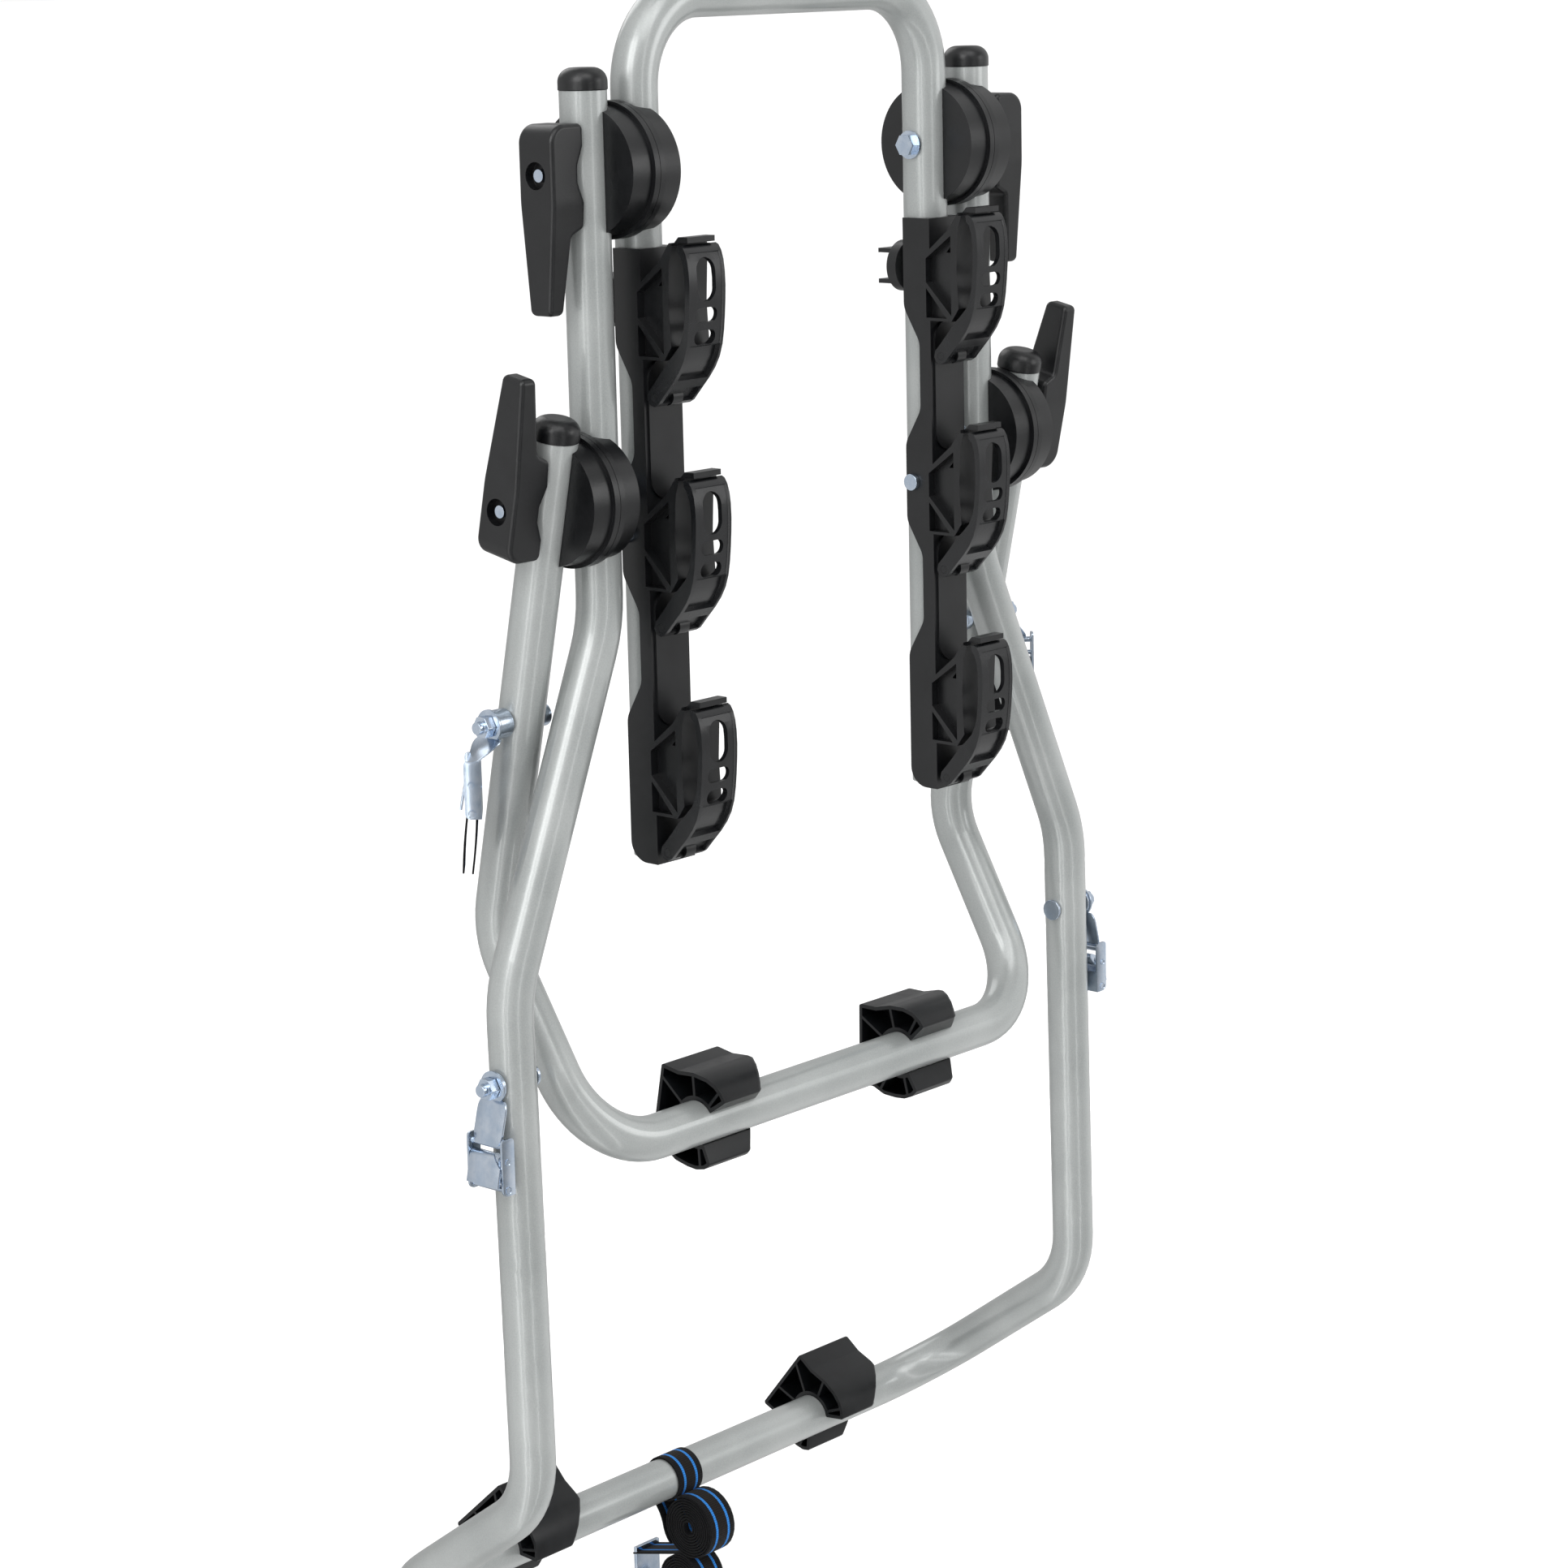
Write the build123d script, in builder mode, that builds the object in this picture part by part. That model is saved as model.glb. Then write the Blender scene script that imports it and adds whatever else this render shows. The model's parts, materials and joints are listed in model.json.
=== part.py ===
# Trunk mounted bike rack, folded flat, in millimetres.
# The origin is the middle of the lowest crossbar. +X runs across the car, +Y points at the car,
# +Z is up. "left" pieces lie on the -X side and "right" pieces on the +X side.
import os
from math import atan2, cos, degrees, hypot, pi, radians, sin, tan

from build123d import *

os.makedirs("parts", exist_ok=True)

# Fits shared by all pieces
seat_gap = 0.15
turn_gap = 0.35
bore_gap = 0.08
overrun = 6.0

# Bent steel tube
tube_od = 30.0
tube_wall = 1.5
tube_r = tube_od / 2

# Where the two hub axes are
hub_y = -138.0
upper_hub_z = 953.0
lower_hub_z = 751.0

# Main frame: from the tops past both hubs, out to the wide feet and in to the crossbar
main_half = 186.5
main_rise = 50.0
splay_top_z = 669.0
splay_low_z = 448.0
splay_low_y = -142.5
foot_half = 283.0
foot_bend_z = 108.0
foot_bend_y = -148.5
splay_radius = 90.0
foot_bend_radius = 60.0
foot_corner_radius = 62.0

# Support frame: hangs beside the main frame and swings up on to the lid
support_half = 230.0
support_foot_half = 225.0
support_rise = 42.0
knee_z = 465.5
knee_y = -76.0
support_bar_z = 328.0
support_bar_y = -155.0
knee_radius = 60.0
support_corner_radius = 60.0

# Bike arm: an arch that carries the cradles
arm_half = 141.0
arm_top_z = 1059.0
arm_end_z = 511.0
arm_corner_radius = 57.0

# Domed end caps
cap_r = 15.6
cap_rim = 2.0
cap_height = 14.0
cap_round = 9.0
cap_plug_depth = 14.0
cap_plug_gap = 0.1

# Toothed hub discs
hub_flange_r = 43.0
hub_flange = 4.5
hub_body_r = 40.5
hub_draft = 2.0
hub_face_short = 1.5
hub_split = 0.4
tooth_count = 24
tooth_height = 1.6
tooth_width = 3.2
tooth_outer_r = 37.0
tooth_inner_r = 13.0

# Hub bolts
bolt_r = 4.0
bolt_head_r = 7.5
bolt_head = 5.3
washer_r = 9.5
washer = 1.6

# Clamp levers
lever_thick = 28.3
lever_wide = 30.0
lever_butt = 31.0
lever_reach = 86.0
lever_tip_thick = 12.5
lever_tip_wide = 18.0
lever_waist = 38.0
lever_grip = 17.0
lever_lobe = 20.0
lever_dip = 5.0
lever_round = 4.0
lever_edge = 3.0
lever_recess_r = 8.5
lever_recess = 6.5
bolt_end_short = 2.5

# Cradle rails on the bike arm
station_pitch = 146.7
station_count = 3
first_station_drop = 83.0
rail_wall = 2.5
rail_r = tube_r + rail_wall
rail_back = 6.0
rail_waist_back = 7.5
rail_top = 34.0
rail_foot = 68.0
rail_foot_round = 14.0
rail_wall_half = 27.0
rail_taper = 23.0
tongue_raise = 1.4
tongue_half = 14.5
tongue_top = 35.0
tongue_tip = 22.0

# One cradle, measured from the arm axis (reach) and from the middle of its station (rise)
cradle_root_reach = 12.0
cradle_root_rise = 9.0
cradle_inner_reach = 36.0
cradle_face_reach = 42.5
cradle_dish = 1.5
cradle_shoulder_rise = 27.0
cradle_low_rise = 26.0
cradle_base_rise = 35.0
cradle_rib = 2.0
cradle_pocket = 6.5
hook_reach = 54.0
hook_rise = 42.0
hook_thick = 3.6
hook_half = 12.5

# Rubber straps over the cradles
strap_half = 16.5
strap_pin_reach = 25.2
strap_pin_drop = 59.0
strap_pin_r = 2.5
strap_eye_r = 5.8
strap_lug_half = 4.5
strap_front_reach = 58.5
strap_band = 5.2
strap_top_rise = 37.0
strap_belly_rise = 22.0
strap_low_rise = 23.0
strap_slot = 26.0
strap_slot_wide = 12.0
strap_slot_rise = 15.5
strap_hole_r = 6.2
strap_hole_drop = 6.5
strap_hole_pitch = 14.0
strap_open_gap = 0.5

# Rail bolts and rear stops
rail_bolt_r = 3.0
rail_bolt_head_r = 6.0
rail_bolt_head = 3.4
rail_bolt_draft = 5.0
stop_r = 17.5
stop_base = 4.0
stop_reach = 34.5
stop_half = 10.0
stop_cheek = 3.0
stop_high = 12.0
stop_drop = 83.0
stop_bolt_r = 3.0
stop_bolt_head_r = 5.5
stop_bolt_head = 4.0

# Pads that snap on the crossbars, measured from the bar's axis (toward the car, then upward)
pad_r = 33.5
pad_face = 36.5
pad_horn_top = 29.0
pad_horn_low = 32.0
pad_horn_round = 2.0
pad_lip_round = 1.5
pad_round = 6.0
pad_top_shares = [(0.64, 0.875), (0.24, 0.98), (-0.12, 0.995), (-0.37, 0.935), (-0.55, 0.82), (-0.675, 0.68)]
pad_low_shares = [(-0.49, -0.74), (-0.36, -0.88), (-0.15, -0.97), (0.09, -0.995), (0.42, -0.985), (0.73, -0.86)]
pad_long = 55.0
pad_slant = 36.0
pad_slant_start = 4.0
pad_inner_wall = 3.0
pad_outer_wall = 2.6
pad_pocket = 20.0
pad_rib = 2.0
pad_rib_count = 8
pad_rib_turn = 30.0
lower_pad_left_x = 144.5
lower_pad_left_turn = 48.0
lower_pad_right_x = 177.5
lower_pad_right_turn = 39.0
support_pad_left_x = 101.5
support_pad_left_turn = 11.0
support_pad_right_x = 105.5
support_pad_right_turn = 1.0

# Cam buckles for the straps to the car
main_buckle_drop = 30.0
support_buckle_drop = 18.0
link_wide = 25.0
link_end_wide = 19.0
link_thick = 1.6
link_twist = 45.0
link_start_share = 0.75
link_top_r = 10.5
frame_wide = 32.0
frame_high = 37.0
frame_deep = 10.5
frame_wall = 1.6
frame_bar_r = 2.0
frame_bar_drop = 5.5
frame_foot = 3.5
frame_plate_drop = 22.0
cam_drop = 15.0
cam_pin_r = 1.6
cam_r = 6.0
cam_plate = 1.6
cam_tail = 17.0
cam_turn = 12.0
support_link_shift = 10.0
main_buckle_z = 391.0
support_buckle_z = 611.0
spacer_long = 10.0
main_head_thick = 2.2
support_head_thick = 5.3
nut_r = 7.4
nut_thick = 6.5
buckle_stud_out = 4.0

# Webbing on the crossbar: loop, two rolls and a hook
web_wide = 25.0
web_thick = 1.5
web_gap = 0.5
loop_gap = 0.2
roll_core_r = 5.0
loop_turn = 60.0
ply_turn = 75.0
roll_sunk_share = 0.55
arc_steps = 24
upper_roll_r = 24.0
lower_roll_r = 21.5
upper_roll_y = -24.0
upper_roll_z = -31.5
lower_roll_y = -14.5
hook_plate_thick = 3.0
hook_plate_wide = 24.0
hook_plate_y = 31.0
hook_plate_high = 38.0
hook_plate_rise = 4.0
hook_plate_bend = 7.0
tail_long = 40.0
tail_lean = 6.0

sides = {"left": -1, "right": 1}

lean = atan2(knee_y - hub_y, lower_hub_z - knee_z)
upper_mid = (main_half + arm_half) / 2
lower_mid = (main_half + support_half) / 2
station_z = [upper_hub_z - first_station_drop - n * station_pitch for n in range(station_count)]


def save(piece, name):
    piece.part.label = name
    export_step(piece.part, f"parts/{name}.step")


def bent_tube(points, radii):
    with BuildPart() as tube:
        with BuildLine() as path:
            FilletPolyline(*points, radius=radii)
        with BuildSketch(Plane(origin=path.line @ 0, z_dir=path.line % 0)):
            Circle(tube_r)
            Circle(tube_r - tube_wall, mode=Mode.SUBTRACT)
        sweep()
    return tube


def cross_holes(tube, places, radius):
    # Holes along X through both walls of each leg
    with tube:
        for x, y, z in places:
            with Locations(Location((x, y, z), (0, 90, 0))):
                Cylinder(radius, tube_od + 2 * overrun, mode=Mode.SUBTRACT)


def tube_y(z):
    # Y of the main leg axis at a height between the splay's foot and the foot bend
    share = (splay_low_z - z) / (splay_low_z - foot_bend_z)
    return splay_low_y + share * (foot_bend_y - splay_low_y)


def support_y(z):
    # Y of the support leg axis at a height above its knee
    share = (lower_hub_z - z) / (lower_hub_z - knee_z)
    return hub_y + share * (knee_y - hub_y)


# Main frame tube
main_points = [
    (-main_half, hub_y, upper_hub_z + main_rise),
    (-main_half, hub_y, splay_top_z),
    (-foot_half, splay_low_y, splay_low_z),
    (-foot_half, foot_bend_y, foot_bend_z),
    (-foot_half, 0, 0),
    (foot_half, 0, 0),
    (foot_half, foot_bend_y, foot_bend_z),
    (foot_half, splay_low_y, splay_low_z),
    (main_half, hub_y, splay_top_z),
    (main_half, hub_y, upper_hub_z + main_rise),
]
main_radii = [splay_radius, splay_radius, foot_bend_radius, foot_corner_radius]
main_frame_tube = bent_tube(main_points, main_radii + main_radii[::-1])
main_buckle_y = tube_y(main_buckle_z)
hub_holes = [(s * main_half, hub_y, z) for s in sides.values() for z in (upper_hub_z, lower_hub_z)]
cross_holes(main_frame_tube, hub_holes, bolt_r + bore_gap)
buckle_holes = [(s * foot_half, main_buckle_y, main_buckle_z) for s in sides.values()]
cross_holes(main_frame_tube, buckle_holes, bolt_r + bore_gap)
save(main_frame_tube, "main_frame_tube")

# Support frame tube
support_buckle_y = support_y(support_buckle_z)
support_top_y = hub_y - support_rise * sin(lean)
support_top_z = lower_hub_z + support_rise * cos(lean)
support_points = [
    (-support_half, support_top_y, support_top_z),
    (-support_half, knee_y, knee_z),
    (-support_foot_half, support_bar_y, support_bar_z),
    (support_foot_half, support_bar_y, support_bar_z),
    (support_half, knee_y, knee_z),
    (support_half, support_top_y, support_top_z),
]
support_radii = [knee_radius, support_corner_radius]
support_frame_tube = bent_tube(support_points, support_radii + support_radii[::-1])
support_holes = [(s * support_half, hub_y, lower_hub_z) for s in sides.values()]
support_holes += [(s * support_half, support_buckle_y, support_buckle_z) for s in sides.values()]
cross_holes(support_frame_tube, support_holes, bolt_r + bore_gap)
save(support_frame_tube, "support_frame_tube")

# Bike arm tube
arm_points = [
    (-arm_half, hub_y, arm_end_z),
    (-arm_half, hub_y, arm_top_z),
    (arm_half, hub_y, arm_top_z),
    (arm_half, hub_y, arm_end_z),
]
bike_arm_tube = bent_tube(arm_points, [arm_corner_radius, arm_corner_radius])
cross_holes(bike_arm_tube, [(s * arm_half, hub_y, upper_hub_z) for s in sides.values()], bolt_r + bore_gap)
cross_holes(bike_arm_tube, [(s * arm_half, hub_y, station_z[1]) for s in sides.values()], rail_bolt_r + bore_gap)
stop_z = upper_hub_z - stop_drop
with bike_arm_tube:
    for s in sides.values():
        with Locations(Location((s * arm_half, hub_y + tube_r, stop_z), (90, 0, 0))):
            Cylinder(stop_bolt_r + bore_gap, tube_r, mode=Mode.SUBTRACT)
save(bike_arm_tube, "bike_arm_tube")


def end_caps(places, axis):
    # A domed cap with its plug in the tube, at each place
    with BuildPart() as caps:
        for place in places:
            across = Vector(1, 0, 0)
            plane = Plane(origin=place, x_dir=across, z_dir=across.cross(Vector(*axis)))
            plug_r = tube_r - tube_wall - cap_plug_gap
            outline = [
                (0, -cap_plug_depth),
                (plug_r, -cap_plug_depth),
                (plug_r, cap_plug_gap),
                (cap_r, cap_plug_gap),
                (cap_r, cap_height),
                (0, cap_height),
            ]
            with BuildSketch(plane):
                with BuildLine():
                    FilletPolyline(*outline, radius=[0, 0, 0, 0, cap_round, 0], close=True)
                make_face()
            revolve(axis=Axis(place, axis))
    return caps


main_tops = [(s * main_half, hub_y, upper_hub_z + main_rise) for s in sides.values()]
save(end_caps(main_tops, (0, 0, 1)), "main_frame_caps")
support_tops = [(s * support_half, support_top_y, support_top_z) for s in sides.values()]
save(end_caps(support_tops, (0, -sin(lean), cos(lean))), "support_frame_caps")


def hub_disc(side, mid_x, tube_x, z, tilt):
    # One toothed disc: its mating face at mid_x, its saddle round the tube at tube_x
    outward = 1 if tube_x > mid_x else -1
    face_x = mid_x + outward * hub_split / 2
    depth = abs(tube_x - face_x) - hub_face_short
    face = Plane(origin=(side * face_x, hub_y, z), x_dir=(0, 1, 0), z_dir=(side * outward, 0, 0))
    with BuildPart() as disc:
        with BuildSketch(face):
            Circle(hub_flange_r)
        extrude(amount=hub_flange)
        with BuildSketch(face.offset(hub_flange)):
            Circle(hub_body_r)
        extrude(amount=depth - hub_flange, taper=hub_draft)
        with BuildSketch(face):
            Circle(tooth_outer_r)
            Circle(tooth_inner_r, mode=Mode.SUBTRACT)
            with PolarLocations((tooth_outer_r + tooth_inner_r) / 2, tooth_count):
                Rectangle(tooth_outer_r, tooth_width, mode=Mode.SUBTRACT)
        extrude(amount=tooth_height, mode=Mode.SUBTRACT)
        with BuildSketch(face):
            Circle(bolt_r + bore_gap)
        extrude(amount=depth + overrun, mode=Mode.SUBTRACT)
        with Locations(Location((side * tube_x, hub_y, z), (degrees(tilt), 0, 0))):
            Cylinder(tube_r + seat_gap, 2 * hub_flange_r + overrun, mode=Mode.SUBTRACT)
    return disc


for name, side in sides.items():
    save(hub_disc(side, upper_mid, arm_half, upper_hub_z, 0), f"upper_hub_inner_{name}")
    save(hub_disc(side, upper_mid, main_half, upper_hub_z, 0), f"upper_hub_outer_{name}")
    save(hub_disc(side, lower_mid, main_half, lower_hub_z, 0), f"lower_hub_inner_{name}")
    save(hub_disc(side, lower_mid, support_half, lower_hub_z, lean), f"lower_hub_outer_{name}")


def hub_bolts(head_x, tube_x, z):
    # Hex head and washer on the inner tube, shank out to the recess of the lever
    end_x = tube_x + tube_r + turn_gap + lever_thick - bolt_end_short
    with BuildPart() as bolts:
        for side in sides.values():
            seat = Plane(origin=(side * head_x, hub_y, z), x_dir=(0, 1, 0), z_dir=(side, 0, 0))
            with BuildSketch(seat.offset(-washer - bolt_head)):
                RegularPolygon(bolt_head_r, 6)
            extrude(amount=bolt_head)
            with BuildSketch(seat.offset(-washer)):
                Circle(washer_r)
            extrude(amount=washer)
            with BuildSketch(seat.offset(-washer)):
                Circle(bolt_r)
            extrude(amount=end_x - head_x + washer)
    return bolts


save(hub_bolts(arm_half - tube_r, main_half, upper_hub_z), "upper_hub_bolts")
save(hub_bolts(main_half - tube_r, support_half, lower_hub_z), "lower_hub_bolts")


def clamp_lever(side, tube_x, z, tip):
    # Tapered handle on the bolt end; its two lobes face the tube
    outward = Vector(side, 0, 0)
    butt = Vector(*tip) * -1
    base = Vector(side * (tube_x + tube_r + turn_gap), hub_y, z)
    profile = Plane(origin=base, x_dir=outward, z_dir=outward.cross(butt))
    front = Plane(origin=base, x_dir=butt.cross(outward), z_dir=outward)
    tip_in = lever_thick - lever_tip_thick
    outline = [
        (0, lever_butt),
        (lever_thick, lever_butt),
        (lever_thick, -lever_reach),
        (tip_in, -lever_reach),
        (tip_in * 2 / 3, -lever_waist),
        (0, -lever_waist + lever_dip),
        (0, -lever_grip),
        (lever_dip, -lever_dip),
        (lever_dip, lever_dip),
        (0, lever_grip),
    ]
    rounds = [lever_round, 3 * lever_round, lever_round, lever_round, lever_round, lever_round]
    rounds += [lever_round, lever_dip, lever_dip, lever_round]
    half, tip_half = lever_wide / 2, lever_tip_wide / 2
    face = [
        (-half, lever_butt + overrun),
        (half, lever_butt + overrun),
        (half, -lever_grip),
        (tip_half, -lever_reach),
        (-tip_half, -lever_reach),
        (-half, -lever_grip),
    ]
    with BuildPart() as lever:
        with BuildSketch(profile):
            with BuildLine():
                FilletPolyline(*outline, radius=rounds, close=True)
            make_face()
        extrude(amount=half, both=True)
        with BuildSketch(front.offset(-overrun)):
            with BuildLine():
                FilletPolyline(*face, radius=[0, 0, lever_reach, lever_round, lever_round, lever_reach], close=True)
            make_face()
        extrude(amount=lever_thick + 2 * overrun, mode=Mode.INTERSECT)
        outer = lever.faces().sort_by(Axis.X)[-1 if side > 0 else 0]
        fillet(outer.edges(), lever_edge)
        with BuildSketch(front.offset(lever_thick - lever_recess)):
            Circle(lever_recess_r)
        extrude(amount=lever_recess + overrun, mode=Mode.SUBTRACT)
        with BuildSketch(front.offset(-overrun)):
            Circle(bolt_r + bore_gap)
        extrude(amount=lever_thick + overrun, mode=Mode.SUBTRACT)
    return lever


for name, side in sides.items():
    save(clamp_lever(side, main_half, upper_hub_z, (0, 0, -1)), f"upper_lever_{name}")
    save(clamp_lever(side, support_half, lower_hub_z, (0, -sin(lean), cos(lean))), f"lower_lever_{name}")


def rail_outline():
    # Side view of the rail's walls, with a waist between the stations
    front = hub_y - rail_r
    back = hub_y + rail_back
    waist = hub_y - rail_waist_back
    points = [(front, station_z[0] + rail_top), (back, station_z[0] + rail_top)]
    for upper, lower in zip(station_z, station_z[1:]):
        points += [
            (back, upper - rail_wall_half),
            (waist, upper - rail_wall_half - rail_taper),
            (waist, lower + rail_wall_half + rail_taper),
            (back, lower + rail_wall_half),
        ]
    points += [(back, station_z[-1] - rail_foot), (front, station_z[-1] - rail_foot)]
    radii = [0, 0] + [rail_foot_round] * (4 * (station_count - 1)) + [rail_foot_round, 0]
    return points, radii


def cradle_outline(z):
    # Side view of one cradle with its hook
    face = cradle_face_reach
    points = [
        (cradle_root_reach, cradle_root_rise),
        (cradle_inner_reach - cradle_rib, cradle_shoulder_rise),
        (face, hook_rise - hook_thick),
        (face + hook_thick, hook_rise),
        (hook_reach, hook_rise),
        (hook_reach, hook_rise - hook_thick),
        (face + hook_thick, hook_rise - hook_thick),
        (face, cradle_shoulder_rise),
        (face - cradle_dish, 0),
        (face, -cradle_low_rise),
        (cradle_inner_reach, -cradle_base_rise),
        (cradle_root_reach, -cradle_base_rise),
    ]
    return [(hub_y - reach, z + rise) for reach, rise in points]


def pocket_outline(z):
    inner = cradle_inner_reach
    points = [
        (inner, cradle_shoulder_rise - 2 * cradle_rib),
        (cradle_root_reach + cradle_rib, cradle_root_rise - cradle_rib),
        (cradle_root_reach + cradle_rib, -cradle_root_rise),
        (inner, -cradle_base_rise + 2 * cradle_rib),
    ]
    return [(hub_y - reach, z + rise) for reach, rise in points]


def low_pocket_outline(z):
    inner = cradle_inner_reach
    points = [
        (cradle_root_reach + cradle_rib, -cradle_root_rise - 2 * cradle_rib),
        (inner - 2 * cradle_rib, -cradle_base_rise + cradle_rib),
        (cradle_root_reach + cradle_rib, -cradle_base_rise + cradle_rib),
    ]
    return [(hub_y - reach, z + rise) for reach, rise in points]


def window_outline(z):
    inner = cradle_inner_reach
    points = [
        (inner, cradle_shoulder_rise - 3 * cradle_rib),
        (inner, cradle_root_rise + cradle_rib),
        (inner - cradle_root_rise, cradle_root_rise + cradle_rib),
    ]
    return [(hub_y - reach, z + rise) for reach, rise in points]


def cradle_rail(side):
    centre = side * arm_half
    start = Plane.YZ.offset(centre - rail_r)
    with BuildPart() as rail:
        points, radii = rail_outline()
        with BuildSketch(start):
            with BuildLine():
                FilletPolyline(*points, radius=radii, close=True)
            make_face()
        extrude(amount=2 * rail_r)
        for z in station_z:
            with BuildSketch(start):
                with BuildLine():
                    Polyline(*cradle_outline(z), close=True)
                make_face()
            extrude(amount=2 * rail_r)
            # The hook is narrower than the cradle
            for edge_x in (centre - rail_r, centre + hook_half):
                with BuildSketch(Plane.YZ.offset(edge_x)):
                    with Locations((hub_y - hook_reach, z + hook_rise)):
                        Rectangle(2 * (hook_reach - cradle_face_reach) - turn_gap, 3 * hook_thick)
                extrude(amount=rail_r - hook_half, mode=Mode.SUBTRACT)
            for edge_x in (centre - rail_r, centre + rail_r - cradle_pocket):
                with BuildSketch(Plane.YZ.offset(edge_x)):
                    with BuildLine():
                        Polyline(*pocket_outline(z), close=True)
                    make_face()
                    with BuildLine():
                        Polyline(*low_pocket_outline(z), close=True)
                    make_face()
                extrude(amount=cradle_pocket, mode=Mode.SUBTRACT)
            with BuildSketch(start):
                with BuildLine():
                    Polyline(*window_outline(z), close=True)
                make_face()
            extrude(amount=2 * rail_r, mode=Mode.SUBTRACT)
            # Lug and pin that the strap's eye turns on
            pin_y = hub_y - strap_pin_reach
            pin_z = z - strap_pin_drop
            with BuildSketch(Plane.YZ.offset(centre - strap_lug_half)):
                with Locations((pin_y, pin_z)):
                    Circle(strap_eye_r)
                with Locations(((pin_y + hub_y - tube_r - rail_wall / 2) / 2, pin_z)):
                    Rectangle(strap_pin_reach - tube_r - rail_wall / 2, 2 * strap_eye_r)
            extrude(amount=2 * strap_lug_half)
            with BuildSketch(Plane.YZ.offset(centre - strap_half)):
                with Locations((pin_y, pin_z)):
                    Circle(strap_pin_r)
            extrude(amount=2 * strap_half)
        # Raised tongues on the front between the stations
        for upper, lower in zip(station_z, station_z[1:]):
            top, tip = upper - tongue_top, lower + tongue_tip
            with BuildSketch(Plane.XZ.offset(rail_r - hub_y)):
                with Locations((centre, (top + tip) / 2)):
                    SlotOverall(top - tip, 2 * tongue_half, rotation=90)
            extrude(amount=tongue_raise)
        # Channel for the tube
        high = station_z[0] + rail_top + overrun
        low = station_z[-1] - rail_foot - overrun
        channel_z = (high + low) / 2
        with Locations((centre, hub_y, channel_z)):
            Cylinder(tube_r + seat_gap, high - low, mode=Mode.SUBTRACT)
        with Locations((centre, hub_y + tube_r, channel_z)):
            Box(2 * (tube_r + seat_gap), tube_od, high - low, mode=Mode.SUBTRACT)
        # Hole for the rail bolt
        with Locations(Location((centre, hub_y, station_z[1]), (0, 90, 0))):
            Cylinder(rail_bolt_r + bore_gap, 2 * rail_r + overrun, mode=Mode.SUBTRACT)
    return rail


for name, side in sides.items():
    save(cradle_rail(side), f"cradle_rail_{name}")

# Bolts that hold the rails on the arm, along X through the middle stations
with BuildPart() as rail_bolts:
    for side in sides.values():
        for end in (-1, 1):
            head = Plane(
                origin=(side * arm_half + end * rail_r, hub_y, station_z[1]),
                x_dir=(0, 1, 0),
                z_dir=(end, 0, 0),
            )
            with BuildSketch(head):
                Circle(rail_bolt_head_r)
            extrude(amount=rail_bolt_head, taper=rail_bolt_draft)
        with Locations(Location((side * arm_half, hub_y, station_z[1]), (0, 90, 0))):
            Cylinder(rail_bolt_r, 2 * rail_r)
save(rail_bolts, "rail_bolts")

# Stops on the back of the arm
with BuildPart() as rear_stops:
    for side in sides.values():
        back = Plane(origin=(side * arm_half, hub_y, stop_z), x_dir=(1, 0, 0), z_dir=(0, 1, 0))
        with BuildSketch(back.offset(tube_r - stop_base / 2)):
            Circle(stop_r)
            Rectangle(2 * (rail_r + turn_gap), 2 * stop_r, mode=Mode.INTERSECT)
        extrude(amount=2 * stop_base)
        with BuildSketch(back.offset(tube_r + stop_base)):
            Rectangle(2 * stop_half, 2 * stop_high)
        extrude(amount=stop_reach - tube_r - stop_base)
        with BuildSketch(back.offset(tube_r + 2 * stop_base)):
            Rectangle(2 * stop_half + overrun, 2 * (stop_high - stop_cheek))
        extrude(amount=stop_reach, mode=Mode.SUBTRACT)
        with Locations((side * arm_half, hub_y, stop_z)):
            Cylinder(tube_r + seat_gap, 2 * stop_r + overrun, mode=Mode.SUBTRACT)
        with BuildSketch(back):
            Circle(stop_bolt_r + bore_gap)
        extrude(amount=stop_reach, mode=Mode.SUBTRACT)
        for edge in (-1, 1):
            with Locations((side * arm_half + edge * 2 * rail_r, hub_y, stop_z)):
                Box(2 * (rail_r - turn_gap), 2 * (rail_back + turn_gap), 2 * stop_r, mode=Mode.SUBTRACT)
save(rear_stops, "rear_stops")

with BuildPart() as rear_stop_bolts:
    for side in sides.values():
        back = Plane(origin=(side * arm_half, hub_y, stop_z), x_dir=(1, 0, 0), z_dir=(0, 1, 0))
        with BuildSketch(back.offset(tube_r / 2)):
            Circle(stop_bolt_r)
        extrude(amount=tube_r / 2 + 2 * stop_base)
        with BuildSketch(back.offset(tube_r + 2 * stop_base)):
            RegularPolygon(stop_bolt_head_r, 6)
        extrude(amount=stop_bolt_head)
save(rear_stop_bolts, "rear_stop_bolts")


def strap_outline(z):
    # Side view of a strap, thin over the belly and thick low down
    front = strap_front_reach
    inner = front - strap_band
    points = [
        (inner - strap_band, strap_top_rise),
        (inner + strap_band / 2, strap_top_rise),
        (front, strap_belly_rise),
        (front, -strap_belly_rise / 6),
        (front - strap_band, -strap_low_rise),
        (front - 2 * strap_band, -2 * strap_low_rise),
        (front - 4 * strap_band, -strap_pin_drop + strap_eye_r / 3),
        (strap_pin_reach, -strap_pin_drop - strap_eye_r),
        (strap_pin_reach - strap_eye_r * cos(pi / 4), -strap_pin_drop + strap_eye_r * sin(pi / 4)),
        (cradle_face_reach - strap_band, -cradle_base_rise - strap_open_gap),
        (inner - strap_band / 2, -strap_low_rise),
        (inner, -strap_belly_rise / 3),
        (inner, strap_belly_rise),
        (inner - strap_band, strap_top_rise - strap_band),
    ]
    return [(hub_y - reach, z + rise) for reach, rise in points]


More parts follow.
